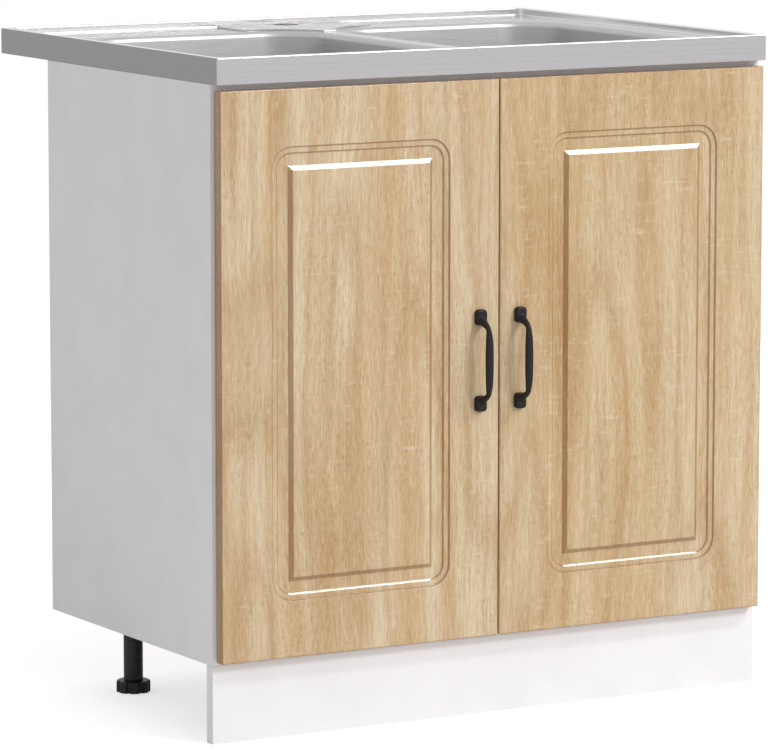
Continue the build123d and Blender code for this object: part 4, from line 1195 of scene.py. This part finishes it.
@dataclass
class Fixings(Assembly):
    """The screws and cam locks, each kind set out by a node tree on the places of its CAD solids.

    Sizes are in mm, apart from the head's dome, which is given in shares of the head's radius and height. A recess
    has half its length, which on a screw is a share of the head's radius, its slots' width and its depth.
    """

    head: float = 1.5
    shank: float = 1.95
    core: float = 1.45
    tip: float = 0.15
    tip_length: float = 2.2
    pitch: float = 1.6
    thread: Triple = (0.2, 0.75, 1.3)
    head_edge: float = 0.2
    head_foot: float = 0.96
    dome: Pairs = ((0.99, 0.42), (0.93, 0.7), (0.8, 0.88), (0.6, 0.97), (0.35, 1.0))
    screw_recess: Triple = (0.62, 0.9, 0.9)
    cam_steps: Pairs = ((0.0, -0.5), (0.5, 0.0), (1.2, 0.0), (1.5, -0.4))
    cam_middle: tuple[float, float] = (0.5, -0.4)
    cam_recess: Triple = (4.2, 1.8, 2.5)
    recess_taper: float = 0.55
    cutter_over: float = 0.3
    low_cams: float = 200.0
    tree: Tree | None = None

    def build(self) -> None:
        """Builds each set of screws and the cam locks."""
        self.tree = self._scatter_tree()
        quarter = math.pi / 2
        left, right = Euler((0, quarter, 0)), Euler((0, -quarter, 0))
        back, front, down = Euler((-quarter, 0, 0)), Euler((quarter, 0, 0)), Euler((math.pi, 0, 0))
        low = self.low_cams * MM
        self._set("hinge_plate_screws", Slot.NICKEL, NICKEL, lambda at: left if at.x < 0 else right)
        self._set("sink_clip_screws", Slot.ZINC, ZINC, lambda at: left if at.x < 0 else right)
        self._set("leg_screws", Slot.ZINC, ZINC, lambda at: down)
        for side in Side:
            self._set(f"hinge_cup_screws_{side.tag}", Slot.NICKEL, NICKEL, lambda at: back)
            self._set(f"handle_screws_{side.tag}", Slot.ZINC, ZINC, lambda at: back)
        self._set("cam_locks", Slot.ZINC, ZINC, lambda at: down if at.z < low else back if at.y < 0 else front, True)

    @staticmethod
    def _scatter_tree() -> Tree:
        """Builds the node tree that sets copies of one part on points, each turned its own way.

        Returns:
            The tree, with the inputs Points, Part, Turn and Finish.
        """
        tree = bpy.data.node_groups.new("set_out", "GeometryNodeTree")
        inputs = {"Points": "Geometry", "Part": "Object", "Turn": "Vector", "Finish": "Material"}
        for name, kind in inputs.items():
            tree.interface.new_socket(name, in_out="INPUT", socket_type=f"NodeSocket{kind}")
        tree.interface.new_socket("Set", in_out="OUTPUT", socket_type="NodeSocketGeometry")
        given = add_node(tree, "NodeGroupInput").outputs
        points = feed(tree, "GeometryNodeMeshToPoints", {"Mesh": given["Points"]})
        part = add_node(tree, "GeometryNodeObjectInfo", {"Object": given["Part"]}).outputs["Geometry"]
        spin = add_node(tree, "FunctionNodeRandomValue", {2: 0.0, 3: 2 * math.pi, "Seed": 3}, data_type="FLOAT")
        own = feed(tree, "FunctionNodeAxisAngleToRotation", {"Axis": (0.0, 0.0, 1.0), "Angle": spin.outputs[1]})
        way = feed(tree, "FunctionNodeEulerToRotation", {0: given["Turn"]})
        turned = feed(tree, "FunctionNodeRotateRotation", {0: way, 1: own}, rotation_space="LOCAL")
        places = {"Points": points, "Instance": part, "Rotation": turned}
        real = feed(tree, "GeometryNodeRealizeInstances", {0: feed(tree, "GeometryNodeInstanceOnPoints", places)})
        painted = feed(tree, "GeometryNodeSetMaterial", {"Geometry": real, "Material": given["Finish"]})
        add_node(tree, "NodeGroupOutput", {0: painted})
        return tree

    def _set_out(self, part: Obj, points: Sequence[Vector], turn: Triple, finish: Finish) -> Obj:
        """Sets copies of a part on points.

        Args:
            part: the part, about the origin, with its axis on Z.
            points: where the copies go.
            turn: the turn that carries Z to the copies' axis.
            finish: their finish.

        Returns:
            The copies as one object.
        """
        mesh = bpy.data.meshes.new("copies")
        mesh.from_pydata(points, [], [])
        obj = linked(bpy.data.objects.new("copies", mesh))
        modifier = obj.modifiers.new("set_out", "NODES")
        modifier.node_group = self.tree
        values = {"Part": part, "Turn": turn, "Finish": finish.material()}
        for item in self.tree.interface.items_tree:
            if item.in_out == "INPUT" and item.name in values:
                modifier[item.identifier] = values[item.name]
        return bake(obj)

    def _set(
        self, node: str, slot: Slot, finish: Finish, way: Callable[[Vector], Euler], cams: bool = False
    ) -> None:
        """Builds one set of pan-head screws or cam locks, and keeps it as one piece.

        Args:
            node: the CAD screws or cam locks.
            slot: the record's material slot.
            finish: the finish.
            way: the turn that carries Z to the head's outward way, from a solid's middle.
            cams: whether these are cam locks, which are wider than they are long.
        """
        ways: dict[Triple, list[Vector]] = {}
        length = radius = 0.0
        for low, high in islands(node):
            size = high - low
            length, width = (min(size), max(size)) if cams else (max(size), min(size))
            radius = width / 2
            turn = way((low + high) / 2)
            axis = Vector((0, 0, 1))
            axis.rotate(turn)
            ways.setdefault(tuple(turn), []).append((low + high) / 2 + axis * (length / 2))
        part = self._cam(radius, length) if cams else self._screw(radius, length)
        shape = bmesh.new()
        for turn, points in ways.items():
            copies = self._set_out(part, points, turn, finish)
            shape.from_mesh(copies.data)
            discard(copies)
        discard(part)
        self.add(soften(from_bmesh(f"{node}_set", shape), STAMPED_EDGE), node, slot, finish)

    def _screw(self, radius: float, length: float) -> Obj:
        """Builds a screw whose head's top is at the origin and whose shank runs down.

        Args:
            radius: the head's radius.
            length: the whole length.

        Returns:
            The screw.
        """
        head, shank, core, edge = self.head * MM, self.shank * MM, self.core * MM, self.head_edge * MM
        at = -length + self.tip_length * MM
        profile = [(self.tip * MM, -length), (core, at)]
        while at < -head - self.tip_length * MM:
            profile += [(r, at + up * MM) for r, up in zip((core, shank, core), self.thread)]
            at += self.pitch * MM
        profile += [(shank, -head - edge), (shank, -head), (radius * self.head_foot, -head), (radius, -head + edge)]
        profile += [(radius * share, -head + head * up) for share, up in self.dome]
        reach, width, depth = self.screw_recess
        screw = skinned("screw", lathe(profile, Matrix.Identity(4), segments=28))
        return combine(screw, self._cross(radius * reach, width * MM, depth * MM))

    def _cam(self, radius: float, height: float) -> Obj:
        """Builds a cam lock whose slotted face is at the origin, at the mouth of its pocket.

        Args:
            radius: its radius.
            height: its height.

        Returns:
            The cam lock.
        """
        profile = [(radius, -height), *((radius - inset * MM, up * MM) for inset, up in self.cam_steps)]
        profile.append(tuple(size * MM for size in self.cam_middle))
        cam = skinned("cam", lathe(profile, Matrix.Identity(4), segments=48))
        return combine(cam, self._cross(*(size * MM for size in self.cam_recess)))

    def _cross(self, reach: float, width: float, depth: float) -> Obj:
        """Builds the cutter of a cross recess at the origin.

        Args:
            reach: half the recess's length.
            width: the slots' width.
            depth: the recess's depth.

        Returns:
            The cutter.
        """
        half = width / 2
        corners = [
            (reach, -half), (reach, half), (half, half), (half, reach), (-half, reach), (-half, half),
            (-reach, half), (-reach, -half), (-half, -half), (-half, -reach), (half, -reach), (half, -half),
        ]
        ends = ((self.recess_taper, -depth), (1.0, self.cutter_over * MM))
        loops = [[Vector((x * share, y * share, z)) for x, y in corners] for share, z in ends]
        return skinned("cross_recess", loops)


@dataclass(frozen=True)
class Lamp:
    """A soft rectangular lamp: the way to it from the doors, its width and height in metres, and its power."""

    way: Triple
    width: float
    height: float
    power: float


@dataclass
class Studio:
    """The camera, the lamps, the floor and the surroundings that the metal reflects."""

    eye: Triple = (-3.269, -5.6678, 1.3158)
    yaw: float = 29.957
    pitch: float = 7.981
    lens: float = 237.2
    sensor: float = 36.0
    sight: float = 100.0
    doors: Triple = (0.0, -0.28, 0.5)
    lamp_distance: float = 6.65
    front: Lamp = Lamp((0.42, -0.82, 0.54), 1.2, 1.2, 146.0)
    bevel: Lamp = Lamp((0.5144, -0.4551, 0.7267), 1.8, 0.64, 110.0)
    bright_way: Triple = (0.9, -0.2, 0.3)
    bright_span: tuple[float, float] = (-0.55, 0.25)
    dark: float = 0.51
    bright: float = 0.58
    mirror_way: Triple = (0.0, 0.9, 0.44)
    mirror_span: tuple[float, float] = (-0.6, 0.6)
    mirror_front: float = 0.74
    mirror_back: float = 0.82
    floor_half: float = 2.5
    floor_glow: float = 0.55

    def build(self) -> None:
        """Sets up the camera, the lamps, the surroundings and the floor."""
        self._camera()
        self._hang("front_lamp", self.front)
        self._hang("bevel_lamp", self.bevel)
        self._world()
        self._floor()

    def _camera(self) -> None:
        """Places the camera where the photograph was taken from."""
        data = bpy.data.cameras.new("camera")
        data.lens = self.lens
        data.sensor_width = self.sensor
        data.clip_end = self.sight
        camera = linked(bpy.data.objects.new("camera", data))
        camera.location = self.eye
        camera.rotation_euler = (math.radians(90 - self.pitch), 0, -math.radians(self.yaw))
        bpy.context.scene.camera = camera

    def _hang(self, name: str, lamp: Lamp) -> None:
        """Hangs a lamp that points at the doors, with its width along the routed bevels that it lights.

        Args:
            name: the lamp's name.
            lamp: the lamp.
        """
        data = bpy.data.lights.new(name, "AREA")
        data.shape = "RECTANGLE"
        data.size, data.size_y, data.energy = lamp.width, lamp.height, lamp.power
        hung = linked(bpy.data.objects.new(name, data))
        toward = Vector(lamp.way).normalized()
        hung.location = Vector(self.doors) + toward * self.lamp_distance
        along = (Vector((1, 0, 0)) - toward * toward.x).normalized()
        hung.rotation_euler = Matrix((along, toward.cross(along), toward)).transposed().to_euler()

    def _world(self) -> None:
        """Surrounds the scene with soft light that falls off to the left, and with white where the camera looks."""
        world = bpy.data.worlds.new("studio")
        world.use_nodes = True
        tree = world.node_tree
        background = tree.nodes["Background"]
        way = add_node(tree, "ShaderNodeTexCoord").outputs["Generated"]
        lean, behind = (
            add_node(tree, "ShaderNodeVectorMath", {0: way, 1: axis}, operation="DOT_PRODUCT").outputs["Value"]
            for axis in (self.bright_way, self.mirror_way)
        )
        path = add_node(tree, "ShaderNodeLightPath").outputs
        smooth = {"interpolation_type": "SMOOTHSTEP"}
        soft = ramp(tree, lean, *self.bright_span, self.dark, self.bright, **smooth)
        shiny = ramp(tree, behind, *self.mirror_span, self.mirror_front, self.mirror_back, **smooth)
        level = feed(tree, "ShaderNodeMix", {0: path["Is Glossy Ray"], 2: soft, 3: shiny}, data_type="FLOAT")
        strength = feed(tree, "ShaderNodeMix", {0: path["Is Camera Ray"], 2: level, 3: 1.0}, data_type="FLOAT")
        background.inputs["Color"].default_value = linear("#FFFFFF")
        tree.links.new(strength, background.inputs["Strength"])
        bpy.context.scene.world = world

    def _floor(self) -> None:
        """Lays a pale floor."""
        shape = bmesh.new()
        bmesh.ops.create_grid(shape, x_segments=1, y_segments=1, size=self.floor_half)
        floor = from_bmesh("floor", shape)
        material = bpy.data.materials.new("pale_floor")
        material.use_nodes = True
        tree = material.node_tree
        shader = tree.nodes["Principled BSDF"]
        shader.inputs["Base Color"].default_value = linear("#F7F7F7")
        shader.inputs["Roughness"].default_value = 0.8
        shader.inputs["Emission Color"].default_value = linear("#FFFFFF")
        seen = add_node(tree, "ShaderNodeLightPath").outputs["Is Camera Ray"]
        glow = feed(tree, "ShaderNodeMath", {0: seen, 1: self.floor_glow}, operation="MULTIPLY")
        tree.links.new(glow, shader.inputs["Emission Strength"])
        floor.data.materials.append(material)


def main() -> None:
    """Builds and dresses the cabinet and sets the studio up."""
    logging.basicConfig(level=logging.INFO, format="%(name)s: %(message)s")
    groups: list[Assembly] = [Carcass(), Sink(), Legs(), Hinges(), Fixings(), *(Door(side=side) for side in Side)]
    for group in groups:
        group.build()
        group.dress()
    Studio().build()
    view = bpy.context.scene.view_settings
    view.view_transform = "Standard"


if __name__ == "__main__":
    main()
